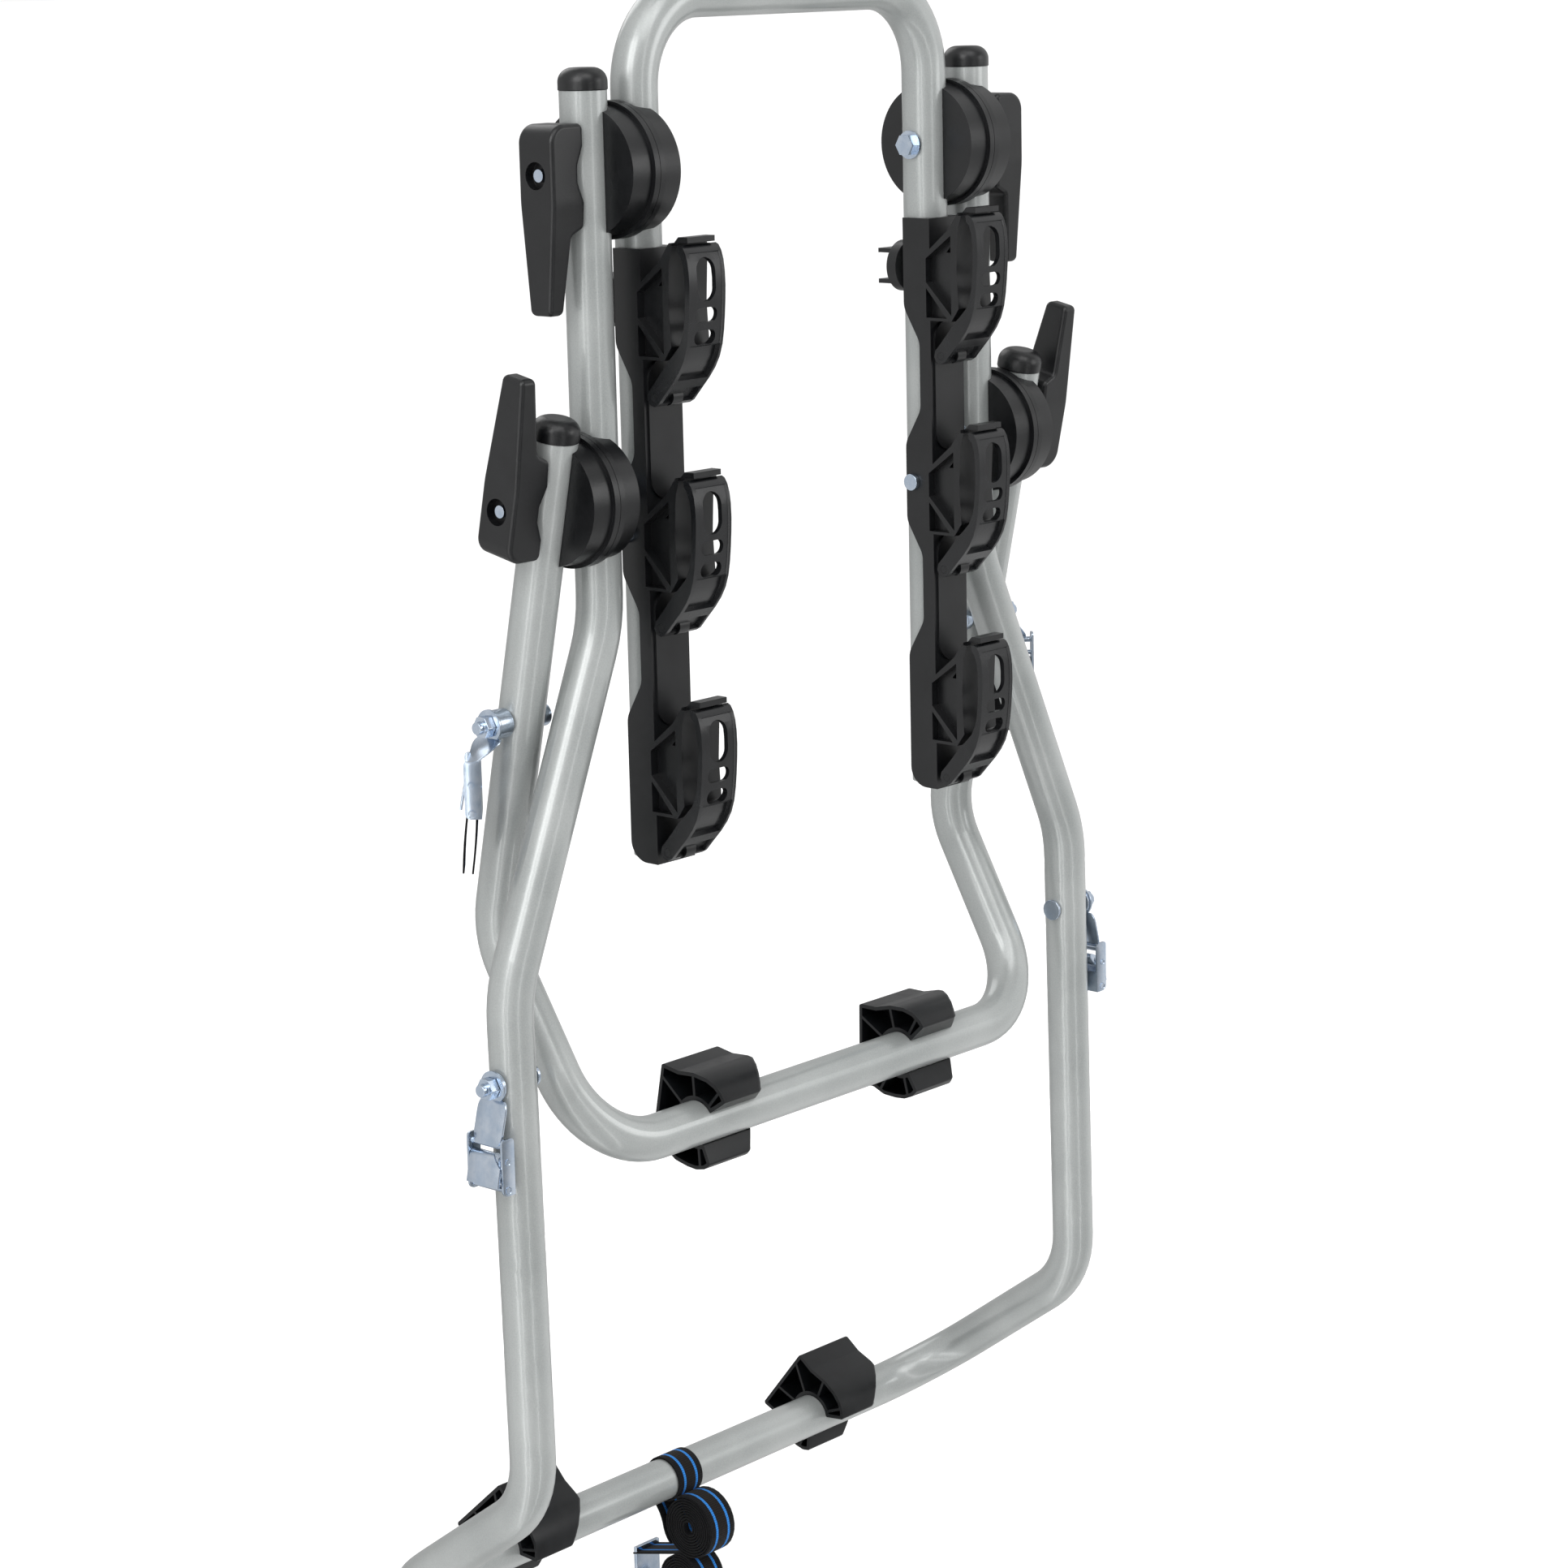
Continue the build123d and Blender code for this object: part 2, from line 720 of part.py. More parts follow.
def cradle_strap(side, z):
    centre = side * arm_half
    pin_y = hub_y - strap_pin_reach
    pin_z = z - strap_pin_drop
    with BuildPart() as strap:
        with BuildSketch(Plane.YZ.offset(centre - strap_half)):
            with BuildLine():
                Polyline(*strap_outline(z), close=True)
            make_face()
            with Locations((pin_y, pin_z)):
                Circle(strap_eye_r)
                Circle(strap_pin_r + bore_gap, mode=Mode.SUBTRACT)
        extrude(amount=2 * strap_half)
        # Room for the rail's lug
        with BuildSketch(Plane.YZ.offset(centre - strap_lug_half - turn_gap)):
            with Locations((pin_y, pin_z)):
                Circle(strap_eye_r + turn_gap)
            with Locations((pin_y + strap_pin_reach / 2, pin_z)):
                Rectangle(strap_pin_reach, 2 * (strap_eye_r + turn_gap))
        extrude(amount=2 * (strap_lug_half + turn_gap), mode=Mode.SUBTRACT)
        # Slot and holes in the belly
        with BuildSketch(Plane.XZ.offset(cradle_face_reach + strap_open_gap - hub_y)):
            with Locations((centre, z + strap_slot_rise)):
                SlotOverall(strap_slot, strap_slot_wide, rotation=90)
            for n in range(2):
                with Locations((centre, z - strap_hole_drop - n * strap_hole_pitch)):
                    Circle(strap_hole_r)
        extrude(amount=strap_front_reach, mode=Mode.SUBTRACT)
    return strap


for name, side in sides.items():
    for n, z in enumerate(station_z, 1):
        save(cradle_strap(side, z), f"cradle_strap_{name}_{n}")


def pad_outline():
    # End view of a pad: the two horns, over the top to the upper lip, the bar's axis, the lower lip and back
    top = [(along * pad_r, up * pad_r) for along, up in pad_top_shares]
    low = [(along * pad_r, up * pad_r) for along, up in pad_low_shares]
    return [(pad_face, -pad_horn_low), (pad_face, pad_horn_top)] + top + [(0, 0)] + low


def bar_pad(x, axis_y, axis_z, turn):
    # C-shaped pad on a crossbar; its flat face looks along +Y, turned up by turn degrees
    axis_point = Vector(x - pad_long / 2, axis_y, axis_z)
    base = Plane(origin=axis_point, x_dir=(0, cos(radians(turn)), sin(radians(turn))), z_dir=(1, 0, 0))
    plan = Plane(origin=axis_point, x_dir=(1, 0, 0), z_dir=base.y_dir)
    ring_r = tube_r + seat_gap
    radii = [pad_horn_round, pad_horn_round] + [pad_round] * (len(pad_top_shares) - 1)
    radii += [pad_lip_round, 0, pad_lip_round] + [pad_round] * (len(pad_low_shares) - 1)
    with BuildPart() as pad:
        with BuildSketch(base):
            with BuildLine():
                FilletPolyline(*pad_outline(), radius=radii, close=True)
            make_face()
            Circle(ring_r, mode=Mode.SUBTRACT)
        extrude(amount=pad_long)
        # Pockets between the ribs, open at the left end
        with BuildSketch(base):
            with BuildLine():
                Polyline(*pad_outline(), close=True)
            make_face()
            offset(amount=-pad_outer_wall, kind=Kind.INTERSECTION)
            Circle(ring_r + pad_inner_wall, mode=Mode.SUBTRACT)
            with PolarLocations(pad_r, pad_rib_count, start_angle=pad_rib_turn):
                Rectangle(2 * pad_r, pad_rib, mode=Mode.SUBTRACT)
        extrude(amount=pad_pocket, mode=Mode.SUBTRACT)
        # Both lips get shorter toward their edges at the right end
        slant_long = (pad_slant_start + 2 * pad_r) * tan(radians(pad_slant))
        slant = [
            (pad_long, pad_slant_start),
            (pad_long + overrun, pad_slant_start),
            (pad_long + overrun, -2 * pad_r),
            (pad_long - slant_long, -2 * pad_r),
        ]
        with BuildSketch(plan):
            with BuildLine():
                Polyline(*slant, close=True)
            make_face()
        extrude(amount=2 * pad_r, both=True, mode=Mode.SUBTRACT)
    return pad


save(bar_pad(-lower_pad_left_x, 0, 0, lower_pad_left_turn), "lower_pad_left")
save(bar_pad(lower_pad_right_x, 0, 0, lower_pad_right_turn), "lower_pad_right")
support_bar = (support_bar_y, support_bar_z)
save(bar_pad(-support_pad_left_x, *support_bar, support_pad_left_turn), "support_pad_left")
save(bar_pad(support_pad_right_x, *support_bar, support_pad_right_turn), "support_pad_right")


def buckle_bolts(tube_x, y, z, spacer, head):
    # Bolt through the leg: round head inside, then washer, spacer, room for the link, and nut
    with BuildPart() as bolts:
        for side in sides.values():
            leg = Plane(origin=(side * tube_x, y, z), x_dir=(0, 1, 0), z_dir=(side, 0, 0))
            with BuildSketch(leg.offset(-tube_r - head)):
                Circle(bolt_head_r)
            extrude(amount=head)
            with BuildSketch(leg.offset(-tube_r)):
                Circle(bolt_r)
            reach = tube_r + washer + spacer + link_thick + 2 * turn_gap + nut_thick + buckle_stud_out
            extrude(amount=tube_r + reach)
            with BuildSketch(leg.offset(tube_r)):
                Circle(washer_r)
            extrude(amount=washer + spacer)
            with BuildSketch(leg.offset(reach - nut_thick - buckle_stud_out)):
                RegularPolygon(nut_r, 6)
            extrude(amount=nut_thick)
    return bolts


main_bolt = (foot_half, main_buckle_y, main_buckle_z, 0)
support_bolt = (support_half, support_buckle_y, support_buckle_z, spacer_long)
save(buckle_bolts(*main_bolt, main_head_thick), "main_strap_bolts")
save(buckle_bolts(*support_bolt, support_head_thick), "support_strap_bolts")


def buckle(side, tube_x, y, z, spacer, drop, twist, shift):
    # Link from the bolt down over the top bar of the frame, which is turned by twist and shifted outward
    link_x = tube_x + tube_r + washer + spacer + turn_gap
    top = Plane(origin=(side * link_x, y, z), x_dir=(0, 1, 0), z_dir=(side, 0, 0))
    middle_x = side * (link_x + link_thick / 2)
    hang = z - drop
    turned = Vector(sin(radians(twist)), cos(radians(twist)), 0)
    out = Vector(side * cos(radians(twist)), -side * sin(radians(twist)), 0)
    back = Plane(origin=(middle_x + side * shift, y, hang), x_dir=turned, z_dir=out)
    up = back.y_dir.Z
    bar_middle = back.from_local_coords(Vector(0, -up * frame_bar_drop, frame_deep / 2))
    link_start = Vector(middle_x, y, z - link_top_r * link_start_share)
    link_run = bar_middle + out * frame_bar_r - link_start
    link_widths = [link_top_r * 2 - link_thick, link_wide, link_wide, link_wide, link_end_wide]
    with BuildPart() as body:
        with BuildSketch(top):
            Circle(link_top_r)
            Circle(bolt_r + bore_gap, mode=Mode.SUBTRACT)
        extrude(amount=link_thick)
        for n, wide in enumerate(link_widths):
            share = n / (len(link_widths) - 1)
            angle = radians(twist * share)
            across = (sin(angle), cos(angle), 0)
            with BuildSketch(Plane(origin=link_start + link_run * share, x_dir=across, z_dir=(0, 0, -1))):
                Rectangle(wide, link_thick)
        loft()
        # Frame: back plate low down, two cheeks, top bar and bottom bar
        plate_high = frame_high - frame_plate_drop
        with BuildSketch(back.offset(-link_thick / 2)):
            with Locations((0, -up * (frame_high - plate_high / 2))):
                Rectangle(frame_wide, plate_high)
        extrude(amount=frame_wall)
        for edge in (-1, 1):
            with BuildSketch(back.offset(-link_thick / 2)):
                with Locations((edge * (frame_wide - frame_wall) / 2, -up * frame_high / 2)):
                    Rectangle(frame_wall, frame_high)
            extrude(amount=frame_deep)
        for below in (frame_bar_drop, frame_high - frame_foot):
            place = back.from_local_coords(Vector(-frame_wide / 2, -up * below, frame_deep / 2))
            with BuildSketch(Plane(origin=place, x_dir=out, z_dir=turned)):
                Circle(frame_bar_r)
            extrude(amount=frame_wide)
        # Pin that the cam turns on
        place = back.from_local_coords(Vector(-frame_wide / 2, -up * cam_drop, frame_deep / 2))
        with BuildSketch(Plane(origin=place, x_dir=out, z_dir=turned)):
            Circle(cam_pin_r)
        extrude(amount=frame_wide)
    with BuildPart() as cam:
        long = frame_wide - 2 * frame_wall - 2 * turn_gap
        place = back.from_local_coords(Vector(-long / 2, -up * cam_drop, frame_deep / 2))
        cross = Plane(origin=place, x_dir=out, z_dir=turned)
        rise = 1 if cross.y_dir.Z > 0 else -1
        with BuildSketch(cross):
            Circle(cam_r - frame_wall)
            with Locations(Location((0, 0), rise * cam_turn)):
                with Locations((cam_r - frame_wall - cam_plate / 2, rise * -cam_tail / 2)):
                    Rectangle(cam_plate, cam_tail)
            Circle(cam_pin_r + bore_gap, mode=Mode.SUBTRACT)
        extrude(amount=long)
    return body, cam


for name, side in sides.items():
    body, cam = buckle(side, *main_bolt, main_buckle_drop, 0, 0)
    save(body, f"main_buckle_{name}")
    save(cam, f"main_buckle_cam_{name}")
    body, cam = buckle(side, *support_bolt, support_buckle_drop, -side * link_twist, support_link_shift)
    save(body, f"support_buckle_{name}")
    save(cam, f"support_buckle_cam_{name}")


# Webbing threaded through the lower bar of each support buckle, its two ends hanging apart
for name, side in sides.items():
    twist = -side * link_twist
    turned = Vector(sin(radians(twist)), cos(radians(twist)), 0)
    out = Vector(side * cos(radians(twist)), -side * sin(radians(twist)), 0)
    bolt_side_x = support_half + tube_r + washer + spacer_long + turn_gap + link_thick / 2
    bar_z = support_buckle_z - support_buckle_drop - frame_high + frame_foot
    middle = Vector(side * (bolt_side_x + support_link_shift), support_buckle_y, bar_z)
    cross = Plane(origin=middle + out * frame_deep / 2 - turned * web_wide / 2, x_dir=out, z_dir=turned)
    down = -1 if cross.y_dir.Z > 0 else 1
    wrap_r = frame_bar_r + loop_gap
    with BuildPart() as web:
        with BuildSketch(cross):
            Circle(wrap_r + web_thick)
            Circle(wrap_r, mode=Mode.SUBTRACT)
            with Locations((0, down * web_wide / 2)):
                Rectangle(web_wide, web_wide, mode=Mode.SUBTRACT)
            for ply in (-1, 1):
                with Locations(Location((0, 0), -down * tail_lean)):
                    with Locations((ply * (wrap_r + web_thick / 2), down * (tail_long - web_thick) / 2)):
                        Rectangle(web_thick, tail_long)
        extrude(amount=web_wide)
    save(web, f"support_web_{name}")


def web_roll(centre_y, centre_z, outer_r, turn_to, ply, looped):
    # A spiral band of half turns; the outer end points at turn_to degrees and runs on as a ply
    pitch = web_thick + web_gap
    halves = int(2 * (outer_r - roll_core_r) / pitch)
    start = outer_r - web_thick / 2
    plane = Plane(
        origin=(-web_wide / 2, centre_y, centre_z),
        x_dir=(0, cos(radians(turn_to)), sin(radians(turn_to))),
        z_dir=(1, 0, 0),
    )
    arcs = []
    x = start
    for n in range(halves):
        r = start - (2 * n + 1) * pitch / 4
        sign = 1 if n % 2 == 0 else -1
        arcs.append((x - sign * r, r, sign))
        x -= 2 * sign * r
    with BuildPart() as roll:
        with BuildSketch(plane):
            with BuildLine():
                for edge in (web_thick / 2, -web_thick / 2):
                    for middle, r, sign in arcs:
                        end = r + edge
                        ThreePointArc((middle + sign * end, 0), (middle, sign * end), (middle - sign * end, 0))
                middle, r, sign = arcs[0]
                Line((middle + sign * (r + web_thick / 2), 0), (middle + sign * (r - web_thick / 2), 0))
                middle, r, sign = arcs[-1]
                Line((middle - sign * (r + web_thick / 2), 0), (middle - sign * (r - web_thick / 2), 0))
            make_face()
            if ply:
                with Locations((start, -ply / 2)):
                    Rectangle(web_thick, ply)
        extrude(amount=web_wide)
        if looped:
            with BuildSketch(Plane.YZ.offset(-web_wide / 2)):
                Circle(tube_r + loop_gap + web_thick)
                Circle(tube_r + loop_gap, mode=Mode.SUBTRACT)
            extrude(amount=web_wide)
    points = []
    for middle, r, sign in arcs:
        for step in range(arc_steps):
            angle = pi * step / arc_steps
            points.append((middle + sign * r * cos(angle), sign * r * sin(angle)))
    gaps = []
    for n, (a, b) in enumerate(points):
        for c, d in points[n + arc_steps:]:
            gaps.append(hypot(a - c, b - d) - web_thick)
    print("roll of", halves / 2, "turns, least gap", min(gaps))
    return roll


# The two strap rolls under the crossbar; the upper one starts in a loop round the bar
save(web_roll(upper_roll_y, upper_roll_z, upper_roll_r, loop_turn, 0, True), "strap_roll_upper")
roll_apart = upper_roll_r + lower_roll_r + loop_gap - roll_sunk_share * (web_thick + web_gap)
lower_roll_z = upper_roll_z - (roll_apart**2 - (upper_roll_y - lower_roll_y) ** 2) ** 0.5
hook_face_y = hook_plate_y - hook_plate_thick / 2
ply_down = radians(90 - ply_turn)
ply_start_r = lower_roll_r - web_thick / 2
ply_start_y = lower_roll_y + ply_start_r * sin(ply_down)
ply_long = (hook_face_y - seat_gap - ply_start_y) / cos(ply_down) - web_thick / 2 * tan(ply_down)
save(web_roll(lower_roll_y, lower_roll_z, lower_roll_r, ply_turn, ply_long, False), "strap_roll_lower")

# Flat steel hook at the end of the lower strap
ply_end_z = lower_roll_z + ply_start_r * cos(ply_down) - ply_long * sin(ply_down)
hook_top_z = ply_end_z + hook_plate_rise
with BuildPart() as strap_hook:
    hook_low_z = hook_top_z - hook_plate_high
    hook_points = [
        (hook_plate_y, hook_top_z),
        (hook_plate_y, hook_low_z),
        (hook_plate_y - 2 * hook_plate_bend, hook_low_z),
        (hook_plate_y - 2 * hook_plate_bend, hook_low_z + 2 * hook_plate_bend),
    ]
    with BuildSketch(Plane.YZ.offset(-hook_plate_wide / 2)):
        with BuildLine():
            FilletPolyline(*hook_points, radius=hook_plate_bend - hook_plate_thick / 2)
        trace(line_width=hook_plate_thick)
    extrude(amount=hook_plate_wide)
save(strap_hook, "strap_hook")
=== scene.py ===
import json
from math import cos, pi, radians, sin

import bpy
from mathutils import Matrix, Vector


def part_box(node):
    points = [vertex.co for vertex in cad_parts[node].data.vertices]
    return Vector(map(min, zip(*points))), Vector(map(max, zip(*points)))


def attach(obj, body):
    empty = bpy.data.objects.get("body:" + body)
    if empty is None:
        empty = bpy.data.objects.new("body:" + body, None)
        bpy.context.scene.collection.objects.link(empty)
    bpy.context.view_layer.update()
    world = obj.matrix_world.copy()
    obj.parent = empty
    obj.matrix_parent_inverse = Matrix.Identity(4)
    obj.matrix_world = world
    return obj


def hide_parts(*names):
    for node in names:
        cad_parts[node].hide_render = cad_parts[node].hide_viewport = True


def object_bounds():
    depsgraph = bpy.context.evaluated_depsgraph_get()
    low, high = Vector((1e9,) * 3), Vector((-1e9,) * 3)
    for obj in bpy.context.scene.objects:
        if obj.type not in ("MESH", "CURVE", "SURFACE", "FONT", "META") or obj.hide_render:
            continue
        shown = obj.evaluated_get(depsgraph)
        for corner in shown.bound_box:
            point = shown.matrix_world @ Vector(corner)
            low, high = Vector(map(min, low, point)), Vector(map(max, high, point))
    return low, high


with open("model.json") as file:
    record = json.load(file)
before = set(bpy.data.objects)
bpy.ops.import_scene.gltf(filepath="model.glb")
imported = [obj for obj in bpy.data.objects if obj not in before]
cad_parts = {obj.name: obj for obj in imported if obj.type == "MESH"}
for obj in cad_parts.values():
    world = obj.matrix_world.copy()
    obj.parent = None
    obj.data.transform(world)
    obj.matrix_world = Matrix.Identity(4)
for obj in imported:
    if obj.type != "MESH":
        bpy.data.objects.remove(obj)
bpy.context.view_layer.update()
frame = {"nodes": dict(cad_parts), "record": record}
scene = bpy.context.scene
print("stage: frame loaded,", len(frame["nodes"]), "nodes")

# The photograph's camera, in metres, degrees and pixels
view = {
    "place": (-1.9246, -1.8667, 1.0932),
    "azimuth": 47.89,
    "down": 12.05,
    "roll": -1.317,
    "focalPixels": 4820.3,
    "imageSide": 1932,
    "centrePixel": (970.9, 950.3),
    "sensor": 36,
    "seesTo": 100,
}


def setCamera():
    azimuth = radians(view["azimuth"])
    down = radians(view["down"])
    roll = radians(view["roll"])
    forward = Vector((sin(azimuth) * cos(down), cos(azimuth) * cos(down), -sin(down)))
    right = Vector((cos(azimuth), -sin(azimuth), 0))
    up = right.cross(forward)
    turnedRight = cos(roll) * right + sin(roll) * up
    turnedUp = -sin(roll) * right + cos(roll) * up
    bpy.ops.object.camera_add(location=view["place"])
    camera = bpy.context.object
    rows = [(turnedRight[i], turnedUp[i], -forward[i], view["place"][i]) for i in range(3)]
    camera.matrix_world = Matrix(rows + [(0, 0, 0, 1)])
    side = view["imageSide"]
    camera.data.sensor_width = view["sensor"]
    camera.data.lens = view["sensor"] * view["focalPixels"] / side
    camera.data.shift_x = (side / 2 - view["centrePixel"][0]) / side
    camera.data.shift_y = (view["centrePixel"][1] - side / 2) / side
    camera.data.clip_end = view["seesTo"]
    scene.camera = camera


setCamera()
print("stage: camera set")


def linear(hexColour):
    # sRGB hex to linear RGBA
    channels = [int(hexColour[i : i + 2], 16) / 255 for i in (1, 3, 5)]
    return [c / 12.92 if c <= 0.04045 else ((c + 0.055) / 1.055) ** 2.4 for c in channels] + [1.0]


def addNode(tree, kind, settings=None, links=None):
    # adds one node, sets its inputs or properties and links outputs of other nodes to its inputs
    node = tree.nodes.new(kind)
    for key, value in (settings or {}).items():
        if isinstance(key, int) or key in node.inputs:
            node.inputs[key].default_value = value
        else:
            setattr(node, key, value)
    for key, source in (links or {}).items():
        tree.links.new(source, node.inputs[key])
    return node


def startMaterial(name, settings):
    # an empty tree with one shader, whose even values are set on its own sockets
    material = bpy.data.materials.new(name)
    material.use_nodes = True
    tree = material.node_tree
    tree.nodes.clear()
    shader = addNode(tree, "ShaderNodeBsdfPrincipled", settings)
    addNode(tree, "ShaderNodeOutputMaterial", {}, {"Surface": shader.outputs["BSDF"]})
    return material, tree, shader


def perMetre(millimetres):
    # texture scale that gives one cell each so many millimetres
    return 1000 / millimetres


def dressShader(tree, shader, look, tone, wear, relief):
    # colour, roughness and bump each follow a pattern between the look's own limits
    colour = addNode(tree, "ShaderNodeValToRGB", {}, {"Fac": tone})
    colour.color_ramp.elements[0].position = look["darkAt"]
    colour.color_ramp.elements[0].color = linear(look["dark"])
    colour.color_ramp.elements[1].position = look["lightAt"]
    colour.color_ramp.elements[1].color = linear(look["light"])
    tree.links.new(colour.outputs["Color"], shader.inputs["Base Color"])
    limits = {"To Min": look["rough"][0], "To Max": look["rough"][1]}
    rough = addNode(tree, "ShaderNodeMapRange", limits, {"Value": wear})
    tree.links.new(rough.outputs["Result"], shader.inputs["Roughness"])
    lift = {"Strength": look["bump"], "Distance": look["depth"]}
    bump = addNode(tree, "ShaderNodeBump", lift, {"Height": relief})
    tree.links.new(bump.outputs["Normal"], shader.inputs["Normal"])


# In each look below, the pattern sizes are in millimetres and the bump's depth in metres

# Polyester powder coat on steel tube, sprayed and baked: a satin silver-grey skin with a
# faint orange peel and fine flakes, a little duller and darker where it has been handled
powder = {
    "shader": {"Metallic": 0.3, "Coat Weight": 0.65, "Coat Roughness": 0.12},
    "cloud": 70.0,
    "flake": 0.9,
    "flakeShare": 0.45,
    "peel": 3.0,
    "dark": "#8F9392",
    "darkAt": 0.45,
    "light": "#A4A7A6",
    "lightAt": 0.95,
    "rough": (0.3, 0.4),
    "bump": 0.35,
    "depth": 0.00006,
}


def powderCoat():
    material, tree, shader = startMaterial("silverPowderCoat", powder["shader"])
    place = {"Vector": addNode(tree, "ShaderNodeTexCoord").outputs["Object"]}
    cloud = addNode(tree, "ShaderNodeTexNoise", {"Scale": perMetre(powder["cloud"]), "Detail": 4.0}, place)
    flake = addNode(tree, "ShaderNodeTexNoise", {"Scale": perMetre(powder["flake"]), "Detail": 1.0}, place)
    peel = addNode(tree, "ShaderNodeTexNoise", {"Scale": perMetre(powder["peel"]), "Detail": 2.0}, place)
    mixed = addNode(
        tree,
        "ShaderNodeMath",
        {"operation": "MULTIPLY_ADD", 1: powder["flakeShare"]},
        {0: flake.outputs["Fac"], 2: cloud.outputs["Fac"]},
    )
    dressShader(tree, shader, powder, mixed.outputs[0], cloud.outputs["Fac"], peel.outputs["Fac"])
    return material


# Glass-filled nylon, injection moulded in a spark-eroded tool: near black, dull, with an even
# fine grain (0.5 mm here, coarser than the real 0.2 mm so that it shows) and paler rubbed spots
nylonLook = {
    "shader": {"IOR": 1.53, "Specular IOR Level": 0.42},
    "grain": 0.5,
    "rubbed": 26.0,
    "rubbedDetail": {"Detail": 5.0, "Roughness": 0.62},
    "dark": "#090A0C",
    "darkAt": 0.35,
    "light": "#131416",
    "lightAt": 0.75,
    "rough": (0.24, 0.42),
    "bump": 0.4,
    "depth": 0.00008,
}


def nylon():
    material, tree, shader = startMaterial("mouldedNylon", nylonLook["shader"])
    place = {"Vector": addNode(tree, "ShaderNodeTexCoord").outputs["Object"]}
    grain = addNode(tree, "ShaderNodeTexVoronoi", {"Scale": perMetre(nylonLook["grain"])}, place)
    spots = {"Scale": perMetre(nylonLook["rubbed"]), **nylonLook["rubbedDetail"]}
    rubbed = addNode(tree, "ShaderNodeTexNoise", spots, place)
    tone = rubbed.outputs["Fac"]
    dressShader(tree, shader, nylonLook, tone, tone, grain.outputs["Distance"])
    return material


# Carbon-filled rubber, compression moulded: the straps come out of a polished tool with a
# satin skin and soft flow clouds, the pads out of a blasted one, duller and a little dusty
rubberLook = {
    "strapRubber": {
        "shader": {"IOR": 1.52, "Specular IOR Level": 0.42},
        "cloud": 18.0,
        "pore": 0.8,
        "dark": "#0C0D0F",
        "darkAt": 0.3,
        "light": "#161719",
        "lightAt": 0.75,
        "rough": (0.2, 0.32),
        "bump": 0.3,
        "depth": 0.00002,
    },
    "padRubber": {
        "shader": {"IOR": 1.52, "Specular IOR Level": 0.27},
        "cloud": 12.0,
        "pore": 0.9,
        "dark": "#090A0C",
        "darkAt": 0.3,
        "light": "#121416",
        "lightAt": 0.75,
        "rough": (0.26, 0.42),
        "bump": 0.3,
        "depth": 0.00006,
    },
    "cloudDetail": {"Detail": 5.0, "Distortion": 0.6},
}


def rubber(name):
    look = rubberLook[name]
    material, tree, shader = startMaterial(name, look["shader"])
    place = {"Vector": addNode(tree, "ShaderNodeTexCoord").outputs["Object"]}
    flow = {"Scale": perMetre(look["cloud"]), **rubberLook["cloudDetail"]}
    cloud = addNode(tree, "ShaderNodeTexNoise", flow, place)
    pore = addNode(tree, "ShaderNodeTexNoise", {"Scale": perMetre(look["pore"]), "Detail": 2.0}, place)
    dressShader(tree, shader, look, cloud.outputs["Fac"], cloud.outputs["Fac"], pore.outputs["Fac"])
    return material


# Pressed steel, barrel zinc plated and blue passivated: bright and bluish, with a soft
# mottle, faint paler patches and fine tumbling scratches
zincLook = {
    "shader": {"Metallic": 1.0},
    "mottle": 9.0,
    "mottleDetail": {"Detail": 4.0, "Roughness": 0.6},
    "scratch": 1.2,
    "scratchWay": {"Scale": (1.0, 1.0, 0.15), "Rotation": (0.4, 0.3, 0.2)},
    "dark": "#B0BECF",
    "darkAt": 0.35,
    "light": "#C5CEDA",
    "lightAt": 0.7,
    "rough": (0.18, 0.28),
    "bump": 0.15,
    "depth": 0.00003,
}


def zincPlate():
    material, tree, shader = startMaterial("zincPlatedSteel", zincLook["shader"])
    place = {"Vector": addNode(tree, "ShaderNodeTexCoord").outputs["Object"]}
    patches = {"Scale": perMetre(zincLook["mottle"]), **zincLook["mottleDetail"]}
    mottle = addNode(tree, "ShaderNodeTexNoise", patches, place)
    along = addNode(tree, "ShaderNodeMapping", zincLook["scratchWay"], place)
    fine = {"Scale": perMetre(zincLook["scratch"]), "Detail": 3.0}
    scratch = addNode(tree, "ShaderNodeTexNoise", fine, {"Vector": along.outputs["Vector"]})
    tone = mottle.outputs["Fac"]
    dressShader(tree, shader, zincLook, tone, tone, scratch.outputs["Fac"])
    return material


# Polyester webbing, needle-loom woven from dyed yarn: dull black ribs across the tape, a
# brownish middle and two royal-blue lines. The pick is 1.6 mm, coarser than the real 1 mm
weave = {
    "shader": {"Roughness": 0.85, "Specular IOR Level": 0.2, "Sheen Weight": 0.04, "Sheen Roughness": 0.4},
    "pick": 1.6,
    "yarn": 1.1,
    "wide": 25.0,
    "lineAt": 6.0,
    "lineWide": 2.3,
    "middle": "#161210",
    "line": "#2C7CCB",
    "edge": "#0B0B0E",
    # painted shade in the hollows between yarns and a faint painted highlight on the crests, as factors on
    # the yarn colours
    "paintedWeaveShade": (0.55, 1.15),
    "bump": 0.8,
    "depth": 0.0003,
}


